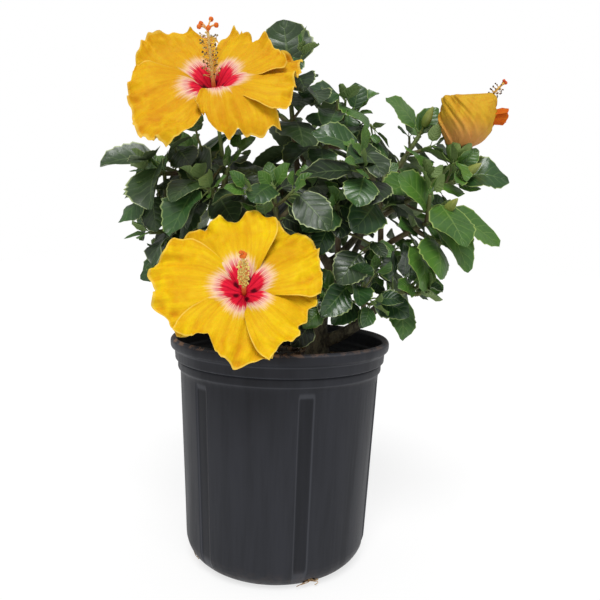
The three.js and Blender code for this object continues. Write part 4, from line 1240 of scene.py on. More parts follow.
MASSES = [
    MassPlan(
        "foliage_left", "bough_left", 1, (-147, -40, 415), 11, ((0.45, 250, 46), (0.7, 80, 40)), (8, 4), 66,
        100, ((0.98, -178, -45, 385, 50, 0.4), (0.94, -129, -72, 376, 48, 1),
        (0.86, -158, -16, 366, 50, 0.2)),
    ),
    MassPlan(
        "foliage_left_top", "bough_left_top", 0.82, (-140, -6, 450), 12, ((0.5, 40, 44), (0.75, 200, 36)),
        (8, 4), 66, 100, ((0.97, -207, -16, 447, 62, 0.5), (0.8, -97, -34, 462, 52, 0.4),
        (0.9, -176, 12, 424, 54, 1)),
    ),
    MassPlan(
        "foliage_left_low", "bough_left", 0.86, (-126, 22, 344), 13, ((0.55, 160, 34),), (6, 3), 54, 80,
        ((0.98, -171, 20, 320, 44, 1), (0.9, -147, 8, 366, 38, 0.6)), LeafAge.GREEN,
    ),
    MassPlan(
        "foliage_front_left", "bough_left_top", 0.62, (-84, -78, 428), 14, ((0.5, 120, 38),), (7, 4), 70,
        90, ((0.96, -106, -112, 404, 72, 1), (0.86, -100, -70, 440, 52, 1)),
    ),
    MassPlan(
        "foliage_front", "bough_front", 1, (-8, -88, 424), 15, ((0.45, 60, 44), (0.7, 220, 42)), (8, 4), 70,
        98, ((0.97, -28, -126, 406, 60, 1), (0.9, -50, -98, 410, 62, 1), (0.98, -46, -72, 444, 68, 0.7)),
    ),
    MassPlan(
        "foliage_middle", "bough_middle", 1, (58, -58, 410), 30, ((0.5, 200, 36),), (8, 4), 60, 82,
        ((0.8, 60, -84, 374, 54, 1), (0.9, 102, -64, 384, 48, 1), (0.98, 22, -100, 380, 52, 1)),
    ),
    MassPlan(
        "foliage_front_right", "bough_right_middle", 0.84, (82, -66, 462), 16, ((0.4, 20, 44),
        (0.7, 190, 40)), (8, 4), 66, 98, ((0.97, 28, -72, 482, 62, 0.8), (0.9, 66, -104, 448, 52, 0.8),
        (0.98, 100, -100, 436, 58, 1)),
    ),
    MassPlan(
        "foliage_top", "bough_top", 1, (2, 6, 556), 17, ((0.45, 330, 52),), (7, 4), 66, 108,
        ((0.99, -6, 6, 620, 66, 1.2), (0.8, 6, -24, 520, 66, 1), (0.93, 36, 12, 562, 36, 0.5)),
    ),
    MassPlan(
        "foliage_top_right", "bough_top", 0.86, (80, 18, 520), 18, ((0.5, 70, 44), (0.72, 230, 38)), (8, 4),
        62, 95, ((0.97, 81, 20, 556, 52, 0.8), (0.9, 108, 26, 546, 34, 0.5), (0.72, 22, 22, 514, 58, 1)),
        LeafAge.GREEN,
    ),
    MassPlan(
        "foliage_right_top", "bough_right_top", 1, (153, -1, 495), 19, ((0.6, 140, 30),), (6, 3), 58, 84,
        ((0.97, 111, -10, 533, 60, 0.8), (0.9, 171, -2, 526, 38, 0.3)), LeafAge.GREEN, 2,
    ),
    MassPlan(
        "foliage_right_end", "bough_right_top", 0.5, (188, -28, 440), 29, ((0.6, 20, 30),), (5, 3), 50, 80,
        ((0.97, 247, -34, 441, 54, 0.9), (0.98, 212, -30, 476, 28, 0.8), (0.6, 200, 16, 456, 54, 0.4)),
        LeafAge.YOUNG, 1,
    ),
    MassPlan(
        "foliage_right", "bough_right_middle", 1, (166, -58, 398), 20, ((0.45, 250, 36), (0.7, 60, 34)), (8,
        4), 64, 98, ((0.98, 235, -50, 370, 68, 0.25), (0.9, 196, -74, 342, 62, 0.45),
        (0.84, 118, -76, 440, 56, 1)), LeafAge.YOUNG, 1,
    ),
    MassPlan(
        "foliage_right_low", "bough_right_low", 1, (150, -30, 322), 21, ((0.4, 170, 34), (0.7, 340, 34)),
        (6, 3), 50, 78, ((0.5, 136, -46, 264, 42, 1), (0.8, 142, -52, 346, 44, 0.8),
        (0.97, 182, -30, 322, 38, 1)), LeafAge.GREEN,
    ),
    MassPlan(
        "foliage_low", "bough_right_low", 0.74, (78, -62, 326), 22, ((0.5, 90, 30),), (6, 3), 48, 72,
        ((0.96, 88, -94, 350, 42, 0.8), (0.9, 82, -98, 306, 44, 1), (0.98, 44, -82, 294, 38, 1)),
        LeafAge.GREEN,
    ),
    MassPlan(
        "foliage_back_top", "bough_back", 1, (24, 74, 500), 23, ((0.4, 30, 48), (0.7, 210, 44)), (9, 4), 68,
        105,
    ),
    MassPlan(
        "foliage_back", "bough_back", 0.84, (18, 146, 420), 24, ((0.4, 90, 46), (0.7, 270, 42)), (9, 4), 68,
        100,
    ),
    MassPlan(
        "foliage_back_right", "bough_back_right", 1, (134, 118, 438), 25, ((0.4, 60, 46), (0.7, 240, 40)),
        (9, 4), 68, 100,
    ),
    MassPlan(
        "foliage_back_right_low", "bough_back_right", 0.82, (134, 84, 330), 26, ((0.5, 150, 36),), (7, 3),
        58, 85, (), LeafAge.GREEN,
    ),
    MassPlan(
        "foliage_back_left", "bough_back_left", 1, (-118, 104, 438), 27, ((0.4, 120, 46), (0.7, 300, 40)),
        (9, 4), 68, 100,
    ),
    MassPlan(
        "foliage_back_low", "bough_back_left", 0.8, (-44, 118, 334), 28, ((0.5, 60, 36),), (7, 3), 58, 85,
        (), LeafAge.GREEN,
    ),
]


# Gaps in the crown where sky shows from the front: x and z of the middle at y = 0, and radius.
SKY_GAPS = np.array([
    [-174, 351, 20], [174, 292, 20], [195, 344, 12], [52, 558, 13], [-18, 482, 13], [134, 489, 11],
    [124, 501, 8], [143, 476, 8],
], float)

# Finer twigs towards thin places of the crown: their mass, share along its shoot, tip, and leaves
# at their ends that set the outline, as a mass has them.
SPURS = [
    ("foliage_front_left", 0.35, (-98, -24, 488), ()),
    ("foliage_left_top", 0.5, (-122, -20, 468), ()),
    ("foliage_front_left", 0.8, (-52, -24, 466), ()),
    ("foliage_top", 0.5, (40, -16, 540), ()),
    ("foliage_top_right", 0.75, (66, -14, 528), ((0.98, 13, -20, 533, 54, 1),)),
    ("foliage_top_right", 0.95, (100, -12, 498), ((0.98, 134, -38, 461, 48, 1),)),
    (
        "foliage_low", 0.35, (56, -62, 310),
        ((0.98, 44, -80, 292, 27, 1), (0.85, 26, -74, 279, 25, 1), (0.6, 15, -66, 257, 26, 0.6)),
    ),
    ("foliage_middle", 0.35, (97, -60, 368), ((0.98, 60, -84, 327, 38, 1),)),
]

# Leading leaves that are broader or narrower than the rest: mass, number and how much.
BREADTHS = {
    ("foliage_top", 0): 1.55,
    ("foliage_top_right", 0): 1.2,
    ("foliage_right_top", 0): 1.2,
    ("foliage_right_end", 0): 1.15,
    ("foliage_right", 0): 0.82,
    ("foliage_right", 1): 0.8,
    ("foliage_left_top", 0): 0.85,
    ("foliage_left_top", 2): 0.85,
}


def in_sky_gap(point: Array) -> bool:
    """Whether a point is seen in a gap of the crown from the photograph's place."""
    seen = EYE + (point - EYE) * (EYE[1] / (EYE[1] - point[1]))
    return bool(np.any(np.hypot(*(SKY_GAPS[:, :2] - seen[[0, 2]]).T) < SKY_GAPS[:, 2]))


def gaze_at(point: Array) -> Array:
    """The way a leaf at a point faces: out from the crown's heart and to the light."""
    return unit(point - CROWN_HEART) * 0.7 + LIGHT * 0.7


def leaf_half_width(u: Number) -> Array:
    """A blade's half width as a share of its length, from base (0) to tip (1)."""
    return 0.4 * np.sin(math.pi * np.asarray(u) ** 0.74) ** 0.75


@dataclass
class Leaf:
    """A blade that arches down and folds up, on a stalk from its joint to its base."""

    joint: Array
    base: Array
    along: Array
    face: Array
    side: Array
    length: float
    curl: float
    fold: float
    breadth: float
    share: float

    @classmethod
    def between(
        cls, ends: Sequence[Array], gaze: Array, random: Seeded, restless: float, share: float
    ) -> "Leaf":
        """A leaf whose blade runs from base to tip, facing the gaze as nearly as that allows.

        Args:
            ends: joint, base and tip.
            gaze: the way the leaf would face.
            random: its random numbers.
            restless: how far it rolls off that way.
            share: share of the twig's length where the joint is.

        Returns:
            The leaf.
        """
        curl, fold = 0.25 + 0.85 * random(), -0.3 + 0.7 * random()
        roll, breadth = (random() - 0.5) * restless, 0.88 + 0.24 * random()
        joint, base, tip = ends
        reach = length(tip - base)
        forward = (tip - base) / reach
        level = unit(gaze - forward * gaze.dot(forward))
        raised = spoke(level, np.cross(level, forward), roll)
        c, s = math.cos(curl / 2), math.sin(curl / 2)
        along, face = forward * c + raised * s, raised * c - forward * s
        side, midrib = np.cross(raised, forward), reach * curl / 2 / s
        return cls(joint, base, along, face, side, midrib, curl, fold, breadth, share)

    def point(self, u: Number, v: Number, lift: Number = 0.0) -> Array:
        """Points of the blade: along it the midrib is an arc of `curl` radians, and across it the
        halves rise with the 1.4th power of v by the fold's angle.

        Args:
            u: shares along the blade.
            v: shares across it, from -1 to 1.
            lift: how far the points stand off the surface.

        Returns:
            One point for each set.
        """
        u, v, lift = np.broadcast_arrays(np.asarray(u, float), v, lift)
        bend = self.curl * u
        forward = self.length * np.sin(bend) / self.curl
        drop = self.length * (1 - np.cos(bend)) / self.curl
        width = leaf_half_width(u) * self.breadth * self.length
        rise = lift + np.abs(v) ** 1.4 * width * math.sin(self.fold)
        beside = v * width * math.cos(self.fold)
        shifts = stack(forward + rise * np.sin(bend), rise * np.cos(bend) - drop, beside)
        return self.base + shifts @ np.stack([self.along, self.face, self.side])

    def samples(self) -> Array:
        """Points spread over blade and stalk, which stand for the leaf when room is looked for."""
        u, v = np.meshgrid([0.1, 0.3, 0.5, 0.72, 1], [-0.9, -0.45, 0, 0.45, 0.9], indexing="ij")
        stalk = self.joint + (self.base - self.joint) * np.array([[0.45], [0.8]])
        return np.concatenate([stalk, self.point(u, v).reshape(-1, 3)])

    def blade(self, teeth: int, random: Random) -> Patch:
        """The blade: five columns above and below, with a scalloped and wavy margin.

        Each tooth is a row where the margin stands out and, past it, a row where it steps in. The
        margin waves up and down by a sine along the blade, its outer half turns over a little,
        and the blade is fuller towards its tip than the plain outline. The lower side has the
        upper one's shape, set down by its thickness, and shares its edges.

        Args:
            teeth: how many teeth each side has.
            random: its random numbers.

        Returns:
            The patch, whose lower faces are marked as inner.
        """
        crest = np.linspace(0.4, 0.95, teeth) if teeth else np.zeros(0)
        notch = crest[:-1] + 0.16 / max(teeth - 1, 1)
        plain = [0.07, 0.22] if teeth else [0.1, 0.35, 0.6, 0.85]
        u = np.sort(np.concatenate([plain, crest, notch]))
        flare = 1 + 0.04 * np.isin(u, crest) - 0.04 * np.isin(u, notch)
        wave = mix(0.02, 0.06, random.random()) * self.length
        phase, waves = random.random() * 6.3, mix(1.2, 2.2, random.random())
        turned = mix(-0.07, 0.09, random.random()) * self.length
        columns = vec([-1, -0.55, 0, 0.55, 1])
        full = (1 + 0.16 * smoothstep(u, 0.55, 0.95))[:, None] * columns
        edge = np.where(np.abs(columns) == 1, flare[:, None] * full, full)
        ripple = wave * edge**2 * np.sin(waves * 2 * math.pi * u[:, None] + phase * np.sign(columns))
        ripple += turned * np.abs(edge) ** 3 * np.sin(math.pi * u[:, None]) - 0.35 * (columns == 0)
        upper = self.point(u[:, None], edge, ripple)
        under = self.point(u[:, None], edge, ripple - 0.45)[:, 1:4]
        points = np.concatenate([upper.reshape(-1, 3), under.reshape(-1, 3), self.point([0.0, 1.0], 0.0)])
        rows = len(u)
        foot, tip = 8 * rows, 8 * rows + 1
        above = np.arange(5 * rows).reshape(rows, 5)
        below = above.copy()
        below[:, 1:4] = 5 * rows + np.arange(3 * rows).reshape(rows, 3)
        quads = [
            stack(above[:-1, :-1], above[:-1, 1:], above[1:, 1:], above[1:, :-1]).reshape(-1, 4),
            stack(below[:-1, :-1], below[1:, :-1], below[1:, 1:], below[:-1, 1:]).reshape(-1, 4),
        ]
        fans = [
            stack(foot, above[0, 1:], above[0, :-1]), stack(tip, above[-1, :-1], above[-1, 1:]),
            stack(foot, below[0, :-1], below[0, 1:]), stack(tip, below[-1, 1:], below[-1, :-1]),
        ]
        across = 0.5 + 0.5 * columns
        sides = [stack(across, u[:, None]), stack(across[1:4], u[:, None])]
        uv = np.concatenate([*[side.reshape(-1, 2) for side in sides], [[0.5, 0.0], [0.5, 1.0]]])
        is_low = np.repeat([False, True], 4 * (rows - 1)), np.repeat([False, True], 8)
        tint = np.full(len(points), random.random())
        return outward(Patch(points, np.concatenate(quads), np.concatenate(fans), uv, tint, is_low))

    def stalk(self, radius: float) -> Patch:
        """The leaf's stalk, which bends from its joint into the blade's own direction."""
        span = length(self.base - self.joint)
        start = unit((self.base - self.joint) / span + UP * 0.25) * span * 0.4
        ends = [self.base - self.along * span * 0.25, self.base + self.along * 1.5]
        path = bezier([self.joint, self.joint + start, *ends], 7)
        return tube(path, np.linspace(radius * 1.25, radius * 0.8, 7), 5, np.linspace(0.3, 1.0, 7))


class TakenRoom:
    """Room already taken by limbs, petals and leaves: points, each with the clearance it asks."""

    def __init__(self) -> None:
        """Starts with all room free."""
        self.points = np.zeros((0, 3))
        self.clearances = np.zeros(0)

    def add(self, points: Array, clearance: float) -> None:
        """Takes the room round some points."""
        self.points = np.concatenate([self.points, points])
        self.clearances = np.concatenate([self.clearances, np.full(len(points), float(clearance))])

    def is_free(self, points: Array) -> bool:
        """Whether every point is clear of everything placed before."""
        low, high = points.min(axis=0) - 45, points.max(axis=0) + 45
        near = np.all((self.points > low) & (self.points < high), axis=1)
        gaps = points[:, None] - self.points[None, near]
        return bool(np.all(np.einsum("ijk,ijk->ij", gaps, gaps) > self.clearances[near] ** 2))

    def claim(self, points: Array, clearance: float) -> bool:
        """Takes the room that the points need, if it is free, and tells whether it was."""
        free = self.is_free(points)
        if free:
            self.add(points, clearance)
        return free


@dataclass
class Twig:
    """A leafy shoot: its limb, the share where its first leaf grows, and its leaves' turn and count."""

    limb: Limb
    first_leaf: float
    phase: float
    count: int
    blade: float
    leaves: list[Leaf] = field(default_factory=list)


@dataclass
class Foliage:
    """Masses of foliage that grow on from the boughs by the seeded rule, and on to finer twigs."""

    wood: WoodyFrame
    pot: NurseryPot
    soil_top: float = 227.0
    tries: int = 14
    leaf_clearance: float = 5.5
    limb_clearance: float = 3.0
    shoot_radii: tuple = (3.4, 2.3)
    side_radii: tuple = (2.8, 2.1)
    fine_radii: tuple = (1.7, 1.2)
    fine_twigs: int = 6
    fine_leaves: int = 4
    fine_length: float = 30.0
    fine_blade: float = 0.78
    fine_clearance: float = 4.2
    spur_leaves: int = 5
    spur_blade: float = 0.85
    tuft_leaves: int = 3
    small_leaf: float = 34.0
    room: TakenRoom = field(default_factory=TakenRoom)
    twigs: dict[str, list[Twig]] = field(default_factory=dict)

    def near_pot(self, points: Array) -> Array:
        """Whether points are too near the pot's lip, its wall or the mix."""
        radius = np.hypot(points[:, 0], points[:, 1])
        near_wall = (radius < self.pot.lip_radius + 6) & (radius > self.pot.body_top_radius - 8)
        near_mix = (radius < self.pot.lip_radius + 6) & (points[:, 2] < self.soil_top + 12)
        return (points[:, 2] <= self.pot.height + 6) & (near_wall | near_mix)

    def side_twig(self, leading: Limb, at: float, turn: float, span: float, radii: tuple) -> Limb:
        """A twig that leaves a shoot.

        Args:
            leading: the shoot.
            at: share of the shoot's length.
            turn: turn round it, in radians.
            span: the twig's length.
            radii: its radius at its start and its tip.

        Returns:
            The twig's limb.
        """
        start = leading.at(at)
        way = leading.along(at) * 0.6 + leading.spoke(at, turn) * 0.8
        return Limb(start, start + way * span, UP * -0.1 * span, radii)

    def mass_twigs(self, mass: MassPlan) -> list[Twig]:
        """A mass's leading shoot and the side twigs that find room."""
        bough = self.wood.limbs[mass.bough]
        start, tip = bough.at(mass.at), vec(mass.tip)
        leading = Limb(start, tip, bough.along(1) * 0.16 * length(tip - start), self.shoot_radii)
        self.room.add(leading.samples()[1:], self.limb_clearance)
        twigs = [Twig(leading, 0.3, mass.seed * 71, mass.leaves[0], mass.blade)]
        for i, (at, turn, span) in enumerate(mass.twigs):
            limb = self.side_twig(leading, at, math.radians(turn), span, self.side_radii)
            if self.room.claim(limb.samples()[3:], self.limb_clearance):
                twigs.append(Twig(limb, 0.35, mass.seed * 37 + i * 90, mass.leaves[1], mass.blade))
        return twigs

    def add_lead(self, twig: Twig, lead: tuple, seed: int, clearance: float) -> None:
        """Grows a leaf that sets the crown's outline: its blade ends at a given point.

        Args:
            twig: what it grows on.
            lead: share of the twig's length, tip x, y, z, blade length, turn to the front.
            seed: start of its random numbers.
            clearance: the room it asks.
        """
        share, x, y, z, blade, front = lead
        joint, tip = twig.limb.at(share), vec([x, y, z])
        span = length(tip - joint)
        base = mix(joint, tip, max(0.12, 1 - blade / span)) + UP * 0.1 * span
        gaze = gaze_at(base) + FRONT * front
        leaf = Leaf.between((joint, base, tip), gaze, Seeded(seed), 0.4, share)
        self.room.add(leaf.samples(), clearance)
        twig.leaves.append(leaf)

    def rule_leaf(self, twig: Twig, order: int, random: Seeded, attempt: int) -> Leaf:
        """Where a twig's next leaf grows.

        Args:
            twig: what it grows on.
            order: its number on the twig.
            random: its random numbers.
            attempt: which try to find it room this is.

        Returns:
            The leaf.
        """
        share = mix(twig.first_leaf, 0.99, ((order + 0.5 + 0.38 * attempt) / twig.count) % 1)
        joint, along = twig.limb.at(share), twig.limb.along(share)
        turn = math.radians(order * GOLDEN_ANGLE + twig.phase + (random() - 0.5) * 40 + attempt * 47)
        opening = math.radians(mix(74, 34, share) + (random() - 0.5) * 16 + (attempt % 3) * 7)
        stalk_way = unit(spoke(along, twig.limb.spoke(share, turn), opening) + UP * 0.12)
        growth = mix(1, 0.62, share * share) * (0.84 + 0.3 * random()) * (1 - 0.035 * attempt)
        stalk = mix(26, 12, share) * growth * (0.8 + 0.5 * random()) * min(1.0, twig.blade / 46)
        base = joint + stalk_way * stalk
        gaze = gaze_at(base)
        way = unit(stalk_way - gaze * 0.5 * stalk_way.dot(gaze) + UP * (-0.25 - 0.5 * random()))
        return Leaf.between((joint, base, base + way * twig.blade * growth), gaze, random, 0.9, share)

    def grow_leaves(self, mass: MassPlan, twig: Twig, number: int, clearance: float) -> None:
        """Grows a twig's leaves, each where it finds room inside the mass's own reach.

        Args:
            mass: the twig's mass.
            twig: what they grow on.
            number: sets the leaves' random numbers apart from other twigs'.
            clearance: the room each asks.
        """
        middle = self.twigs[mass.name][0].limb.at(0.72)
        for order in range(twig.count):
            random = Seeded(mass.seed * 1000 + number * 100 + order)
            for attempt in range(self.tries):
                leaf = self.rule_leaf(twig, order, random, attempt)
                points = leaf.samples()
                inside = np.linalg.norm(points - middle, axis=1).max() < mass.reach
                if inside and not self.near_pot(points).any() and self.room.claim(points, clearance):
                    twig.leaves.append(leaf)
                    break

    def grow_fine(self, mass: MassPlan) -> None:
        """Carries a mass on to finer twigs with smaller leaves, by the same rule."""
        leading = self.twigs[mass.name][0].limb
        random = Seeded(mass.seed * 1000 + 800)
        for i in range(self.fine_twigs):
            at = mix(0.3, 0.95, (i + 0.6 * random()) / self.fine_twigs)
            turn = math.radians(i * GOLDEN_ANGLE + mass.seed * 53)
            span = self.fine_length * (0.7 + 0.6 * random())
            limb = self.side_twig(leading, at, turn, span, self.fine_radii)
            if self.room.claim(limb.samples()[4:], self.limb_clearance):
                phase, blade = mass.seed * 29 + i * 80, self.fine_blade * mass.blade
                twig = Twig(limb, 0.4, phase, self.fine_leaves, blade)
                self.twigs[mass.name].append(twig)
                self.grow_leaves(mass, twig, 20 + i, self.fine_clearance)

    def grow_spurs(self) -> None:
        """Carries finer twigs to thin places of the crown, and grows leaves on them by the rule."""
        plans = {mass.name: mass for mass in MASSES}
        for i, (name, share, tip, leads) in enumerate(SPURS):
            mass, leading = plans[name], self.twigs[name][0].limb
            start = leading.at(share)
            bow = leading.along(share) * 0.12 * length(vec(tip) - start)
            limb = Limb(start, vec(tip), bow, self.fine_radii)
            phase, blade = mass.seed * 17 + i * 70, self.spur_blade * mass.blade
            twig = Twig(limb, 0.45, phase, self.spur_leaves, blade)
            self.room.add(limb.samples()[3:], self.limb_clearance)
            for lead in leads:
                self.add_lead(twig, lead, mass.seed * 1000 + 700 + i, self.fine_clearance)
            self.twigs[name].append(twig)
            self.grow_leaves(mass, twig, 40 + i, self.fine_clearance)

    def grow(self, blooms: Sequence["Flower"]) -> None:
        """Places every twig and leaf, in the source's order, clear of limbs and blooms."""
        for limb in self.wood.limbs.values():
            self.room.add(limb.samples(), float(limb.radius(0.3)) + self.limb_clearance)
        for bloom in blooms:
            for points, clearance in bloom.taken_room():
                self.room.add(points, clearance)
        for mass in MASSES:
            self.twigs[mass.name] = self.mass_twigs(mass)
        for mass in MASSES:
            for i, lead in enumerate(mass.lead):
                twig = self.twigs[mass.name][0]
                self.add_lead(twig, lead, mass.seed * 1000 + 900 + i, self.leaf_clearance)
        for mass in MASSES:
            for number, twig in enumerate(self.twigs[mass.name]):
                self.grow_leaves(mass, twig, number, self.leaf_clearance)
        self.grow_spurs()
        for mass in MASSES:
            self.grow_fine(mass)

    def tuft(self, twig: Twig, seed: int) -> list[Leaf]:
        """Small young leaves round a twig's end."""
        random = Seeded(seed)
        leaves = []
        for i in range(self.tuft_leaves):
            blade = mix(13, 26, random()) * min(1.0, twig.blade / 46)
            share = 1.0 - 0.015 * i
            joint, along = twig.limb.at(share), twig.limb.along(share)
            out = twig.limb.spoke(share, math.radians(i * GOLDEN_ANGLE + seed * 31))
            way = unit(along + out * mix(0.4, 1.0, random()))
            base = joint + way * mix(3, 8, random())
            ends = (joint, base, base + way * blade + UP * 1.0)
            leaves.append(Leaf.between(ends, gaze_at(base) - along * 0.6, random, 0.6, share))
        return leaves

    def age_of(self, mass: MassPlan, leaf: Leaf, random: Random) -> LeafAge:
        """Age of a leaf: mostly its mass's own, younger towards the twig's end."""
        ages = list(LeafAge)
        step = int(random.random() < 0.16 + 0.3 * max(0.0, leaf.share - 0.75) * 4)
        back = int(random.random() < 0.12)
        return ages[min(2, max(0, ages.index(mass.age) + step - back))]

    def build(self) -> None:
        """Makes the leaves by age, their stalks and the shoots, which replace the masses."""
        random = np.random.default_rng(5)
        by_age = {age: [] for age in LeafAge}
        stalks, shoots = [], []
        for mass in MASSES:
            for number, twig in enumerate(self.twigs[mass.name]):
                for order, leaf in enumerate(twig.leaves):
                    if in_sky_gap(leaf.point(0.5, 0.0)):
                        continue
                    leaf.breadth *= BREADTHS.get((mass.name, order), 1.0) if number == 0 else 1.0
                    small = leaf.length < self.small_leaf
                    blade = leaf.blade(3 if small else 5, random)
                    # Painted shade: the nearer a leaf is to the crown's shady heart, the higher its tint and
                    # the darker it is.
                    blade.tint += 0.8 * (1 - smoothstep(length(leaf.base - PAINTED_SHADE_HEART), 70, 165))
                    by_age[self.age_of(mass, leaf, random)].append(blade)
                    stalks.append(leaf.stalk(0.75 if small else 1.0))
                shoots.append(twig.limb.solid(8, 2.2, [leaf.share for leaf in twig.leaves]))
                for leaf in self.tuft(twig, mass.seed * 10 + number):
                    if not in_sky_gap(leaf.point(0.5, 0.0)):
                        by_age[LeafAge.YOUNG].append(leaf.blade(0, random))
                        stalks.append(leaf.stalk(0.5))
        names = [mass.name for mass in MASSES]
        for age, patches in by_age.items():
            build_piece(f"leaves_{age.value}", patches, LEAF_FINISHES[age], names, 60)
        stalk = TintedFinish("leaf_stalk", srgb(112, 116, 70), srgb(110, 140, 66), 0.5, 120, 0.3, 0.1)
        shoot = TintedFinish("shoot_bark", srgb(98, 78, 58), srgb(100, 116, 58), 0.6, 110, 0.5, 0.25, 2)
        build_piece("leaf_stalks", stalks, [stalk], names, SMOOTH)
        build_piece("shoots", shoots, [shoot], names, SMOOTH)


def leaf_sides(name: str, gloss: float, upper: Sequence[tuple], under: Sequence[tuple]) -> list[LeafFinish]:
    """The finishes of a leaf's two sides.

    Args:
        name: what the leaf is called.
        gloss: roughness of its upper side.
        upper: display colours of the upper side's body, shade, veins and margin.
        under: the same for the underside.

    Returns:
        Both finishes.
    """
    upper, under = ([srgb(*colour) for colour in side] for side in (upper, under))
    return [LeafFinish(f"{name}_leaf", *upper, gloss), LeafFinish(f"{name}_underside", *under, 0.6)]


LEAF_FINISHES = {
    LeafAge.MATURE: leaf_sides(
        "mature", 0.38,
        ((52, 76, 38), (18, 34, 17), (104, 126, 74), (164, 178, 122)),
        ((92, 108, 70), (70, 88, 56), (130, 146, 98), (150, 164, 108)),
    ),
    LeafAge.GREEN: leaf_sides(
        "green", 0.36,
        ((58, 94, 42), (30, 60, 28), (100, 128, 66), (140, 160, 92)),
        ((102, 122, 78), (82, 104, 64), (140, 158, 106), (150, 168, 106)),
    ),
    LeafAge.YOUNG: leaf_sides(
        "young", 0.38,
        ((84, 124, 44), (50, 88, 30), (120, 148, 70), (146, 168, 86)),
        ((122, 144, 82), (98, 124, 66), (150, 170, 106), (152, 172, 98)),
    ),
}


# Blooms


@dataclass
class Flower:
    """A bloom on its stalk."""

    wood: WoodyFrame
    name: str
    bough: str
    at: float

    def stalk_limb(self) -> Limb:
        """The stalk, from its bough to the calyx."""
        raise NotImplementedError

    def stalk(self, end: Array, bow: Array) -> Limb:
        """A stalk from the flower's place on its bough to the given end."""
        return Limb(self.wood.limbs[self.bough].at(self.at), end, bow, (2.6, 2.0))

    def stalk_room(self) -> tuple[Array, float]:
        """Points of the stalk, with the clearance they ask."""
        return self.stalk_limb().samples()[1:], 3.0

    def piece(
        self, kind: str, patches: Sequence[Patch], finishes: Sequence[Finish], crease: float = SMOOTH
    ) -> None:
        """Makes one of the flower's own pieces, which replace its node."""
        build_piece(f"{self.name}_{kind}", patches, finishes, [self.name], crease)


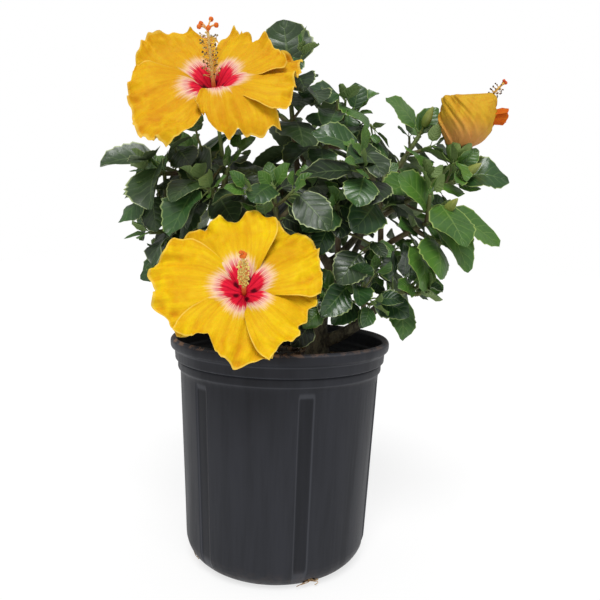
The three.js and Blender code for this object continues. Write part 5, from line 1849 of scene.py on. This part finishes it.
@dataclass
class Bloom(Flower):
    """An open bloom: five ruffled petals, staminal column, calyx and stalk.

    Attributes:
        throat: where the petals part.
        facing: the way it looks.
        column: direction and length of its staminal column.
        petal: length of a petal of size 1.
        first: turn of petal 0 seen from the front, clockwise from +X.
        reflex: how far each petal bends back, in degrees.
        hump: how far each petal bulges forward first.
        size: each petal's length against `petal`.
        turns: how far each petal is turned from its even place, in degrees.
        breadth: width of each petal's two halves against the usual one.
        opens: share of each petal's length where it starts to open.
        edges: for each petal, how far its margin reaches at seven places across it.
        eye: how far out the red eye reaches.
        anther_tints: shades of its anthers in turn, from yellow (0) to brown (1).
        parted: how far its stigmas stand apart.
    """

    throat: tuple
    facing: tuple
    column: tuple
    petal: float
    first: float
    reflex: tuple
    hump: tuple
    size: tuple
    turns: tuple
    breadth: tuple
    opens: tuple
    seed: int
    edges: tuple
    eye: float
    anther_tints: tuple
    parted: float
    body: tuple
    deep_and_crease_shade: tuple
    spread: tuple = (3.0, 5.4)
    thickness: float = 0.6
    half_width: float = 0.54
    filaments: int = 84

    def axes(self) -> tuple[Array, Array, Array]:
        """Along the column, and two across, the second as upright as can be."""
        axis = unit(vec(self.facing))
        right = unit(vec([1, 0, 0]) - axis * axis[0])
        return axis, right, -np.cross(axis, right)

    def petal_point(self, k: int, u: Array, v: Array, fine: bool = True) -> Array:
        """Points of petal k at shares u from its claw and v across it (-1 to 1).

        The midline leaves the throat steeply, opens over four tenths of its length and then bends
        back by the petal's reflex; it is summed up in twelve steps. The width swells with a power
        of a sine, the halves swirl, and the outer part bulges, ruffles and reaches further or less
        far at places across it. The fine surface has frills too.

        Args:
            k: which petal, from 0.
            u: shares of its length.
            v: shares of its half width.
            fine: whether the frills are wanted.

        Returns:
            One point for each pair.
        """
        axis, right, rise = self.axes()
        turn = math.radians(self.first + k * 72 + self.turns[k])
        out, across = spoke(right, rise, turn), spoke(rise, -right, turn)
        span = self.petal * self.size[k]
        edge = np.interp(v, np.linspace(-1, 1, 7), self.edges[k])
        if fine:
            strip = stack(v * 4.5 + 9 * k, self.seed, 0)
            edge = edge + 0.034 * lattice_noise(strip, 62) + 0.014 * lattice_noise(strip * 2.2, 63)
        reach = u * (1 - 0.16 * v * v * u) * (1 + (edge - 1) * u**2.5)
        forward, sideways = np.full(u.shape, -10.0), np.full(u.shape, 4.0)
        for i in range(12):
            share = (i + 0.5) / 12 * reach
            opened = smoothstep(share, self.opens[k], self.opens[k] + 0.4)
            lean = np.radians(16 + 66 * opened + self.reflex[k] * np.maximum(0, (share - 0.4) / 0.6))
            forward += reach * span / 12 * np.cos(lean)
            sideways += reach * span / 12 * np.sin(lean)
        width = 0.06 + 0.94 * np.sin(math.pi / 2 * np.minimum(1, u * 1.22)) ** 1.3
        half = v * width * self.half_width * span * mix(*self.breadth[k], (1 + v) / 2)
        if fine:
            claw = 1 - smoothstep(u, 0.0, 0.22)
            forward += 7 * claw
            sideways -= 2.3 * claw
        hump = self.hump[k] * np.sin(math.pi * np.minimum(1, reach * 1.3)) ** 2
        ruffle = 3.2 * u * u * np.sin(3.6 * v + 1.9 * k + self.seed)
        height = forward + (0.1 if fine else 0.17) * half + hump + ruffle
        points = vec(self.throat) + height[..., None] * axis
        points = points + sideways[..., None] * out + half[..., None] * across
        if fine:
            points = points + self.frills(k, u, v, self.plane(points))[0][..., None] * axis
        return points

    def frills(self, k: int, u: Array, v: Array, place: Array) -> tuple[Array, Array]:
        """Fine height changes of a petal, and how high each place stands among its creases, which sets
        painted shade in its hollows.

        Waves, crumples and creases are noise on the bloom's own plane, so that lapping petals
        share them. The pleats that run out from the claw and the margin's frills are the petal's.

        Args:
            k: which petal.
            u: shares of its length.
            v: shares of its half width.
            place: places on the bloom's plane, in millimetres.

        Returns:
            A height and a crease value from 0 to 1 for each pair; low crease values get painted shade.
        """
        far = np.hypot(place[..., 0], place[..., 1]) / self.petal
        strip = stack(v * 6 + 9 * k, u * 1.7, self.seed)
        bent = strip + 0.5 * lattice_noise(place / 11, 67)[..., None]
        waves = 4.4 * lattice_noise(place / 19, 61) * smoothstep(far, 0.3, 0.9)
        crumples = lattice_noise(place / 7.5, 64) * smoothstep(far, 0.35, 0.95)
        creases = (1 - 2.2 * np.abs(lattice_noise(place / 6.0, 69))) * smoothstep(far, 0.45, 1.0)
        pleats = fractal_noise(bent, 65, 2) * u * (1.2 - 0.5 * u)
        twisted = 2.6 * lattice_noise(strip / 2, 66)
        margin = 4.2 * u**6 * np.sin(11 * v + 2.7 * k + twisted) + 1.6 * u**10 * np.sin(27 * v + 2 * twisted)
        sides = 2.4 * smoothstep(np.abs(v), 0.7, 1.0) * u * np.sin(13 * u + 3 * k + twisted)
        height = waves + 2.0 * crumples + 1.1 * creases + 2.0 * pleats + margin + sides
        return height, np.clip(0.5 + 0.3 * crumples + 0.22 * creases + 0.35 * pleats, 0.0, 1.0)

    def petals(self) -> list[Patch]:
        """Five thin sheets, tinted by their creases so that their hollows get painted shade."""
        v, u = np.meshgrid(np.linspace(-1, 1, 71), np.linspace(0.02, 1, 67))
        half = (self.thickness / 2 * (1 - 0.5 * smoothstep(u, 0.85, 1)))[..., None]
        patches = []
        for k in range(5):
            points = self.petal_point(k, u, v)
            normal = unit(np.cross(np.gradient(points, axis=0), np.gradient(points, axis=1)))
            normal *= np.sign((normal * self.axes()[0]).sum(axis=-1).mean())
            # The tint paints shade where the petal lies low among its creases.
            tint = self.frills(k, u, v, self.plane(points))[1]
            shift = normal * half
            patches.append(sheet(points + shift, points - shift, stack(0.5 + 0.5 * v, u), tint))
        return patches

    def plane(self, points: Array) -> Array:
        """Places of points on the bloom's plane, square to its axis, in millimetres."""
        _, right, rise = self.axes()
        from_throat = points - vec(self.throat)
        return stack(from_throat @ right, from_throat @ rise, 9 * self.seed)

    def stalk_limb(self) -> Limb:
        """The stalk, from its bough to the calyx."""
        axis = self.axes()[0]
        end = vec(self.throat) - axis * 26
        return self.stalk(end, axis * -0.3 * length(self.wood.limbs[self.bough].at(self.at) - end))

    def taken_room(self) -> list[tuple[Array, float]]:
        """Points of the petals and the stalk, with the clearance they ask."""
        v, u = np.meshgrid([-1, -0.66, -0.33, 0, 0.33, 0.66, 1], [0.2, 0.4, 0.55, 0.7, 0.85, 1])
        petals = [self.petal_point(k, u, v, False).reshape(-1, 3) for k in range(5)]
        return [(np.concatenate(petals), 9.0), self.stalk_room()]

    def column_path(self, steps: int) -> Array:
        """Centreline of the column."""
        throat, span = vec(self.throat), vec(self.column)
        foot = throat - self.axes()[0] * 12
        return bezier([foot, throat + span * 0.2, throat + span * 0.65, throat + span], steps)

    def stamens(self) -> tuple[list[Patch], list[Patch]]:
        """Filaments that stand off the column's outer half, and an anther on each."""
        path = self.column_path(101)
        ways = unit(np.gradient(path, axis=0))
        random = np.random.default_rng(self.seed)
        threads, anthers = [], []
        for i in range(self.filaments):
            spot = round(mix(38, 94, (i + random.random()) / self.filaments))
            foot, way = path[spot], ways[spot]
            out = spoke(*crosswise(way), math.radians(i * GOLDEN_ANGLE))
            span = mix(*self.spread, random.random())
            end = foot + out * span + way * span * mix(0.1, 0.6, random.random())
            middle = foot + out * span * 0.6 + way * 0.5
            threads.append(tube(bezier([foot, middle, middle, end], 5), 0.32, 4))
            tint = self.anther_tints[i % len(self.anther_tints)]
            anthers.append(bead(end, mix(0.8, 1.15, random.random()), self.seed * 100 + i, tint, 0.25))
        return threads, anthers

    def stigmas(self) -> tuple[list[Patch], list[Patch]]:
        """Five branches that part at the column's end, and a round pad on each."""
        path = self.column_path(101)
        end, way = path[-1], unit(path[-1] - path[-6])
        branches, pads = [], []
        for i in range(5):
            out = spoke(*crosswise(way), math.radians(i * 72 + 20))
            top = end + way * (6 if i else 9) + out * self.parted
            corners = [end - way * 3, end + way * 3, mix(end + way * 6, top, 0.4), top]
            branches.append(tube(bezier(corners, 8), 0.8, 6))
            pads.append(bead(top + out * 0.6, 1.7 + 0.1 * self.parted, self.seed * 10 + i, 0.6, 0.12))
        return branches, pads

    def build(self) -> None:
        """Makes the bloom's pieces, which replace its node."""
        pale = srgb(232, 196, 84)
        upper = PetalFinish(f"{self.name}_petal_upper", self.body, self.deep_and_crease_shade, pale, self.eye)
        under = PetalFinish(f"{self.name}_petal_under", srgb(206, 160, 48), srgb(192, 134, 34), pale)
        gold = TintedFinish(
            f"{self.name}_column_gold", srgb(222, 116, 50), srgb(230, 202, 116), 0.5, 150, 0.3, 0.1
        )
        pollen = TintedFinish(
            f"{self.name}_anther", srgb(240, 214, 122), srgb(74, 42, 18), 0.8, 300, 0.2, 0.3
        )
        velvet = TintedFinish(
            f"{self.name}_stigma", srgb(206, 82, 16), srgb(232, 122, 34), 0.85, 400, 0.5, 0.3
        )
        threads, anthers = self.stamens()
        branches, pads = self.stigmas()
        steps = np.linspace(0, 1, 16)
        column = tube(self.column_path(16), mix(2.5, 1.3, steps), 12, smoothstep(steps, 0.2, 0.5))
        self.piece("petals", self.petals(), [upper, under], 80)
        self.piece("column", [*threads, *branches, column], [gold])
        self.piece("anthers", anthers, [pollen])
        self.piece("stigmas", pads, [velvet])
        axis = self.axes()[0]
        Calyx(vec(self.throat) - axis * 28, axis, 8.5, 24.0).build(self)


@dataclass
class Calyx:
    """Five pointed sepals in a cup, with narrow bracts round their foot."""

    foot: Array
    axis: Array
    radius: float
    height: float
    bracts: int = 7
    flare: float = 0.15

    def sepal(self, turn: float) -> Patch:
        """A sepal: a fifth of the cup that narrows to a point past the cup's rim."""
        v, s = np.meshgrid(np.linspace(-1, 1, 9), np.linspace(0, 1, 13))
        cup = mix(2.4, self.radius, np.sin(np.minimum(1, s * 1.7) * math.pi / 2))
        radius = cup * (1 + self.flare * smoothstep(s, 0.5, 1.0)) + 0.35 * (1 - v * v)
        reach = math.radians(36) * np.where(s < 0.5, 1.0, 1 - smoothstep(s, 0.5, 1.02) ** 0.8)
        ray = spoke(*crosswise(self.axis), turn + v * np.maximum(reach, 0.02))
        outer = self.foot + self.axis * (s * self.height - 2)[..., None] + ray * radius[..., None]
        return sheet(outer, outer - ray * 0.7, stack(0.5 + 0.5 * v, s))

    def bract(self, turn: float) -> Patch:
        """A narrow bract that curves out from below the sepals."""
        out, foot, axis = spoke(*crosswise(self.axis), turn), self.foot, self.axis
        places = [(0, -1), (self.radius * 0.9, 0), (self.radius + 3, 5), (self.radius + 5, 11)]
        path = bezier([foot + out * far + axis * high for far, high in places], 9)
        return tube(path, [1.1, 1.2, 1.2, 1.15, 1.1, 1.0, 0.8, 0.6, 0.3], 6)

    def build(self, flower: Flower) -> None:
        """Makes the calyx and the stalk below it, for the given flower."""
        name = flower.name
        sepals = [self.sepal(math.radians(i * 72)) for i in range(5)]
        bracts = [self.bract(math.radians(i * 360 / self.bracts + 12)) for i in range(self.bracts)]
        green = TintedFinish(
            f"{name}_calyx_green", srgb(86, 116, 50), srgb(128, 150, 76), 0.55, 90, 0.8, 0.3, 2
        )
        stem = TintedFinish(
            f"{name}_stem_green", srgb(104, 104, 62), srgb(112, 136, 66), 0.55, 90, 0.4, 0.2, 2
        )
        stalk = flower.stalk_limb().solid(10, 2.5)
        build_piece(f"{name}_calyx", sepals + bracts, [green], [name], 70)
        build_piece(f"{name}_stem", [stalk], [stem], [name], SMOOTH)


# Sections of the furled petals, from the calyx up and over to the mouth: x and z of the left end,
# x and z of the right end, and half the depth.
FURL = np.array([
    [182, 475, 195, 475, 7], [176, 488, 213, 483, 19], [171, 506, 225, 494, 26], [171, 520, 228, 505, 27],
    [173, 532, 229, 515, 23], [191, 534, 230, 521, 18], [213, 536, 231, 527, 11], [225, 538, 231, 532, 4],
], float)


@dataclass
class ClosingBloom(Flower):
    """The furled bloom: a bag of lapped petals that turns over at a shoulder to its mouth."""

    name: str = "bloom_closing"
    bough: str = "bough_right_top"
    at: float = 0.76
    foot: tuple = (188, -24, 462)
    bow: tuple = (10, 2, -14)
    middle: tuple = (200, -24, 508)
    radius: float = 28.0
    stigma: tuple = (238, -24, 549)
    curl_from: tuple = (217, -24, 510)
    curl_to: tuple = (240, -26, 512)
    curl_radii: tuple = (8, 11)
    laps: int = 5
    twist: float = 1.1
    filaments: int = 22

    def sections(self, rows: int) -> Array:
        """Sections between the given ones, along a smooth curve through each of their numbers."""
        s = np.linspace(0, len(FURL) - 1, rows)
        i = np.clip(s.astype(int), 0, len(FURL) - 2)
        t = (s - i)[:, None]
        a, b = FURL[np.maximum(i - 1, 0)], FURL[i]
        c, d = FURL[i + 1], FURL[np.minimum(i + 2, len(FURL) - 1)]
        return b + 0.5 * t * (c - a + t * (2 * a - 5 * b + 4 * c - d + t * (3 * (b - c) + d - a)))

    def bag(self) -> Patch:
        """The furled petals: sections that step in at five edges which wind up and round them."""
        x0, z0, x1, z1, depth = self.sections(84).T[:, :, None]
        s, turn = np.linspace(0, 1, 84)[:, None], even_turns(220)
        lap = ((turn - s * self.twist * math.pi) * self.laps / (2 * math.pi) + 0.35) % 1
        step = 0.13 * (smoothstep(lap, 0.0, 0.04) * (1 - lap) - 0.4)
        pleats = 0.045 * fractal_noise(stack((turn - s * 3.4) * 6, s * 4, 0.0), 79, 2)
        lumps = 0.05 * fractal_noise(stack(np.cos(turn) * 2, np.sin(turn) * 2, s * 5), 77, 2)
        swell = 1 + (step + lumps) * smoothstep(s, 0, 0.15) + pleats * smoothstep(s, 0.02, 0.2)
        centre = stack((x0 + x1) / 2, self.foot[1], (z0 + z1) / 2)
        half = stack((x1 - x0) / 2, 0.0, (z1 - z0) / 2)
        side = stack(0.0, -depth * np.sin(turn), 0.0)
        return loft(centre + (half * np.cos(turn)[..., None] + side) * swell[..., None])

    def curl(self) -> list[Patch]:
        """Petal tips rolled up below the mouth: two sheets wound in a spiral, one in the other."""
        start, end = vec(self.curl_from), vec(self.curl_to)
        side, other = crosswise(unit(end - start), UP)
        turn, s = np.meshgrid(np.linspace(0.2, 6.6, 34), np.linspace(0, 1, 12))
        uv = stack(turn / 6.6, 0.4 + 0.6 * s)
        patches = []
        for number, size in enumerate((1.0, 0.6)):
            frill = 1.1 * np.sin(turn * 4 + number) * s**3
            radius = size * (mix(*self.curl_radii, s) - 0.5 * turn + frill)
            spokes = spoke(side, other, turn + number)
            along = (s * (1 + 0.12 * np.sin(turn * 2.3 + number)))[..., None] * (end - start)
            points = start + along + spokes * radius[..., None]
            patches.append(sheet(points, points - spokes * 0.6, uv))
        return patches

    def calyx_axis(self) -> Array:
        """From the foot to the middle of the petals' lower part."""
        x0, z0, x1, z1, _ = FURL[1]
        return unit(vec([(x0 + x1) / 2, self.foot[1], (z0 + z1) / 2]) - vec(self.foot))

    def stalk_limb(self) -> Limb:
        """The stalk, from its bough to the calyx."""
        return self.stalk(vec(self.foot) + self.calyx_axis() * 2, vec(self.bow))

    def taken_room(self) -> list[tuple[Array, float]]:
        """The petals' middle and the stalk, with the clearance they ask."""
        return [(vec(self.middle)[None], self.radius + 14), self.stalk_room()]

    def build(self) -> None:
        """Makes the bloom's pieces, which replace its node."""
        pale, base = srgb(226, 186, 104), srgb(204, 138, 84)
        furled = PetalFinish("furled_petal", srgb(214, 178, 44), srgb(190, 128, 34), pale, 0.0, base)
        ember = PetalFinish("curled_tip", srgb(208, 120, 16), srgb(190, 70, 14), srgb(196, 84, 20))
        gold = TintedFinish("closing_column_gold", srgb(206, 150, 50), srgb(216, 172, 74), 0.5, 150, 0.4, 0.1)
        velvet = TintedFinish("closing_stigma", srgb(196, 62, 14), srgb(214, 92, 26), 0.85, 400, 0.5, 0.3)
        pollen = TintedFinish("closing_anther", srgb(120, 84, 40), srgb(64, 40, 22), 0.8, 300, 0.2, 0.3)
        mouth, stigma = vec([FURL[-2, 0] + 9, self.foot[1], FURL[-2, 1] - 4]), vec(self.stigma)
        column = tube(mix(mouth, stigma, np.linspace(0, 1, 14)[:, None]), 1.2, 10)
        spots = mix(mouth, stigma, np.linspace(0.25, 0.75, self.filaments)[:, None])
        turns = np.radians(np.arange(self.filaments) * GOLDEN_ANGLE)
        ends = spots + 6.0 * spoke(*crosswise(unit(stigma - mouth), UP), turns)
        threads = [
            tube(bezier([a, mix(a, b, 0.4), mix(a, b, 0.7), b], 4), 0.28, 4) for a, b in zip(spots, ends)
        ]
        anthers = [bead(end, 0.95, 950 + i, 0.7, 0.25) for i, end in enumerate(ends)]
        pads = [bead(stigma + d, 1.9, 900 + i, 0.5) for i, d in enumerate(np.eye(3) * 2.2)]
        self.piece("petals", [self.bag()], [furled], 80)
        self.piece("tips", self.curl(), [ember, ember], 80)
        self.piece("column", [column, *threads], [gold])
        self.piece("anthers", anthers, [pollen])
        self.piece("stigma", pads, [velvet])
        Calyx(vec(self.foot), self.calyx_axis(), 13.5, 30.0).build(self)


# Buds


@dataclass
class Buds:
    """Pointed green buds on thin stalks at the ends of some shoots."""

    foliage: Foliage

    def bud(self, limb: Limb, order: int) -> list[Patch]:
        """A bud with five low ridges, and its stalk.

        Args:
            limb: the shoot that carries it.
            order: its number on the shoot.

        Returns:
            The bud and the stalk.
        """
        start, along = limb.at(1 - 0.04 * order), limb.along(1.0)
        way = unit(along + spoke(*crosswise(along), math.radians(order * 170 + 40)) * 0.5)
        foot = start + way * 14
        s, turn = np.linspace(0, 1, 16)[:, None], even_turns(30)
        ridge = 1 + 0.08 * np.cos(5 * (turn - s * 0.9)) * s
        radius = 5.2 * np.sin(math.pi * (0.04 + 0.93 * s) ** 0.72) ** 0.8 * ridge
        rings = foot + (s * 25 - 2)[..., None] * way + spoke(*crosswise(way), turn) * radius[..., None]
        stalk = tube(bezier([start, start + way * 5, foot - way * 4, foot], 6), 1.2, 6)
        return [loft(rings, np.linspace(0.2, 0.9, 16)), stalk]

    def build(self) -> None:
        """Makes every bud."""
        budded = [mass for mass in MASSES if mass.buds]
        patches = []
        for mass in budded:
            for order in range(mass.buds):
                patches += self.bud(self.foliage.twigs[mass.name][0].limb, order)
        green = TintedFinish("bud_green", srgb(108, 124, 50), srgb(146, 152, 74), 0.5, 120, 0.5, 0.2)
        build_piece("buds", patches, [green], sorted(mass.name for mass in budded), SMOOTH)


# Studio


@dataclass
class Studio:
    """Camera at the photograph's angle, pale floor and soft light; places are in metres."""

    pitch: float = 5.3
    roll: float = 1.6
    lens: float = 36.0
    floor_radius: float = 9.0
    floor_glow: float = 0.72
    sun_place: tuple = (0.0, -0.7, 0.9)
    sun_power: float = 2.35
    sun_breadth: float = 28.0
    ambience: float = 0.44
    sheen: float = 0.38

    def camera(self) -> None:
        """Places the camera."""
        data = bpy.data.cameras.new("camera")
        data.lens = self.lens
        data.sensor_width = 36.0
        made = new_object("camera", data)
        made.rotation_mode = "XYZ"
        pitch = Matrix.Rotation(math.radians(90 - self.pitch), 4, "X")
        roll = Matrix.Rotation(math.radians(self.roll), 4, "Z")
        made.matrix_world = Matrix.Translation(Vector(EYE * MM)) @ pitch @ roll
        bpy.context.scene.camera = made

    def floor(self) -> None:
        """Lays a wide pale floor."""
        turn = even_turns(96)
        rim = self.floor_radius * stack(np.cos(turn), np.sin(turn), 0)
        mesh = bpy.data.meshes.new("floor")
        faces = [[0, i + 1, (i + 1) % 96 + 1] for i in range(96)]
        mesh.from_pydata([[0.0, 0.0, 0.0], *rim.tolist()], [], faces)
        glow = {"Emission_Color": (1, 1, 1, 1), "Emission_Strength": self.floor_glow}
        surface = Surface("pale_floor", Roughness=0.9, **glow)
        grain = surface.coords().noise(3.0, 2.0) * 0.3
        tone = surface.blend(grain, (0.29, 0.29, 0.29, 1), (0.27, 0.27, 0.27, 1))
        surface.feed(surface.shader.inputs["Base Color"], tone)
        mesh.materials.append(surface.material)
        made = new_object("floor", mesh)

    def lamp(self, name: str, place: tuple, size: tuple[float, float], power: float) -> None:
        """Hangs a tall soft light that looks at the pot and the crown.

        Args:
            name: the light's name.
            place: where it hangs.
            size: its width and height.
            power: in watts.
        """
        data = bpy.data.lights.new(name, "AREA")
        data.shape = "RECTANGLE"
        data.size, data.size_y = size
        data.energy = power
        made = new_object(name, data)
        made.location = place
        made.rotation_euler = (Vector((0, 0, 0.35)) - Vector(place)).to_track_quat("-Z", "Y").to_euler()

    def sun(self) -> None:
        """Hangs the broad key light far off, so that it falls evenly on the whole floor."""
        data = bpy.data.lights.new("key_light", "SUN")
        data.energy = self.sun_power
        data.angle = math.radians(self.sun_breadth)
        made = new_object("key_light", data)
        made.rotation_euler = Vector(self.sun_place).to_track_quat("Z", "Y").to_euler()

    def world(self) -> None:
        """Lights the scene from all sides, less in reflections, before a white backdrop."""
        world = bpy.data.worlds.new("pale")
        world.use_nodes = True
        graph = Graph(world.node_tree)
        background = world.node_tree.nodes["Background"]
        background.inputs["Color"].default_value = (1, 1, 1, 1)
        seen = graph.value("LightPath", output="Is Camera Ray")
        shiny = graph.value("LightPath", output="Is Glossy Ray")
        lit = shiny.ramp(0.0, 1.0, self.ambience, self.sheen)
        graph.feed(background.inputs["Strength"], lit.larger(seen))
        bpy.context.scene.world = world

    def build(self) -> None:
        """Sets up all of it."""
        self.camera()
        self.floor()
        self.world()
        self.sun()
        self.lamp("left_light", (-1.2, -0.8, 0.9), (0.5, 1.4), 0.6)
        self.lamp("right_light", (1.4, -0.5, 0.8), (0.4, 1.4), 0.05)
        bpy.context.scene.view_settings.view_transform = "Standard"


def open_blooms(wood: WoodyFrame) -> list[Bloom]:
    """The two open blooms."""
    front = Bloom(
        wood, "bloom_front", "bough_front", 0.8, (-31, -138, 320), (0.06, -0.86, 0.5), (4, -58, 34), 85, 33,
        (22, 18, 24, 26, 26), (3, 2, 3, 4, 3), (0.96, 0.98, 1.04, 1.08, 1.0),
        (0, 0, 0, 0, 0), ((1, 1),) * 5, (0.02,) * 5, 31, (
            (0.84, 0.94, 0.85, 0.87, 0.92, 0.91, 1.0),
            (0.90, 0.92, 1.03, 0.93, 0.77, 0.87, 0.97),
            (0.89, 0.93, 1.06, 0.99, 1.14, 1.03, 0.97),
            (0.82, 0.93, 0.95, 1.02, 0.86, 0.98, 0.86),
            (1.07, 1.02, 1.07, 1.08, 1.0, 0.95, 0.87),
        ), 0.34, (0.0, 0.0, 0.22), 1.3, srgb(230, 194, 8), srgb(206, 144, 12),
    )
    top = Bloom(
        wood, "bloom_top", "bough_left_top", 1, (-71, -74, 517), (0.0, -0.78, 0.62), (-2, -34, 49), 98, 18,
        (10, 62, 16, -24, -20), (4, 4, 4, 2, 2), (1.0, 1.02, 1.0, 1.0, 1.0), (-23, -18, -22, -10, 0),
        ((0.9, 0.9), (0.95, 0.45), (0.85, 1.05), (0.95, 0.75), (0.72, 0.88)),
        (0.02, 0.08, 0.02, 0.02, 0.02), 32, (
            (1.0, 1.08, 1.05, 0.95, 0.94, 0.93, 0.97),
            (1.0, 1.0, 0.95, 0.9, 0.82, 0.72, 0.6),
            (1.14, 1.14, 1.1, 1.03, 1.0, 0.92, 0.74),
            (0.9, 0.97, 1.02, 0.89, 0.81, 0.8, 0.5),
            (0.95, 0.9, 0.8, 0.8, 0.88, 0.9, 0.87),
        ), 0.37, (0.25, 0.9, 0.65), 8.0, srgb(220, 176, 16), srgb(202, 134, 16), (5.5, 9.5),
    )
    return [front, top]


def main() -> None:
    """Builds every piece in order."""
    logging.basicConfig(level=logging.INFO, format="%(name)s: %(message)s")
    Studio().build()
    pot, wood = NurseryPot(), WoodyFrame()
    pot.build()
    PottingMix(pot).build()
    wood.build()
    blooms = [*open_blooms(wood), ClosingBloom(wood)]
    for bloom in blooms:
        bloom.build()
    foliage = Foliage(wood, pot)
    foliage.grow(blooms)
    foliage.build()
    Buds(foliage).build()
    bpy.context.view_layer.update()


if __name__ == "__main__":
    main()
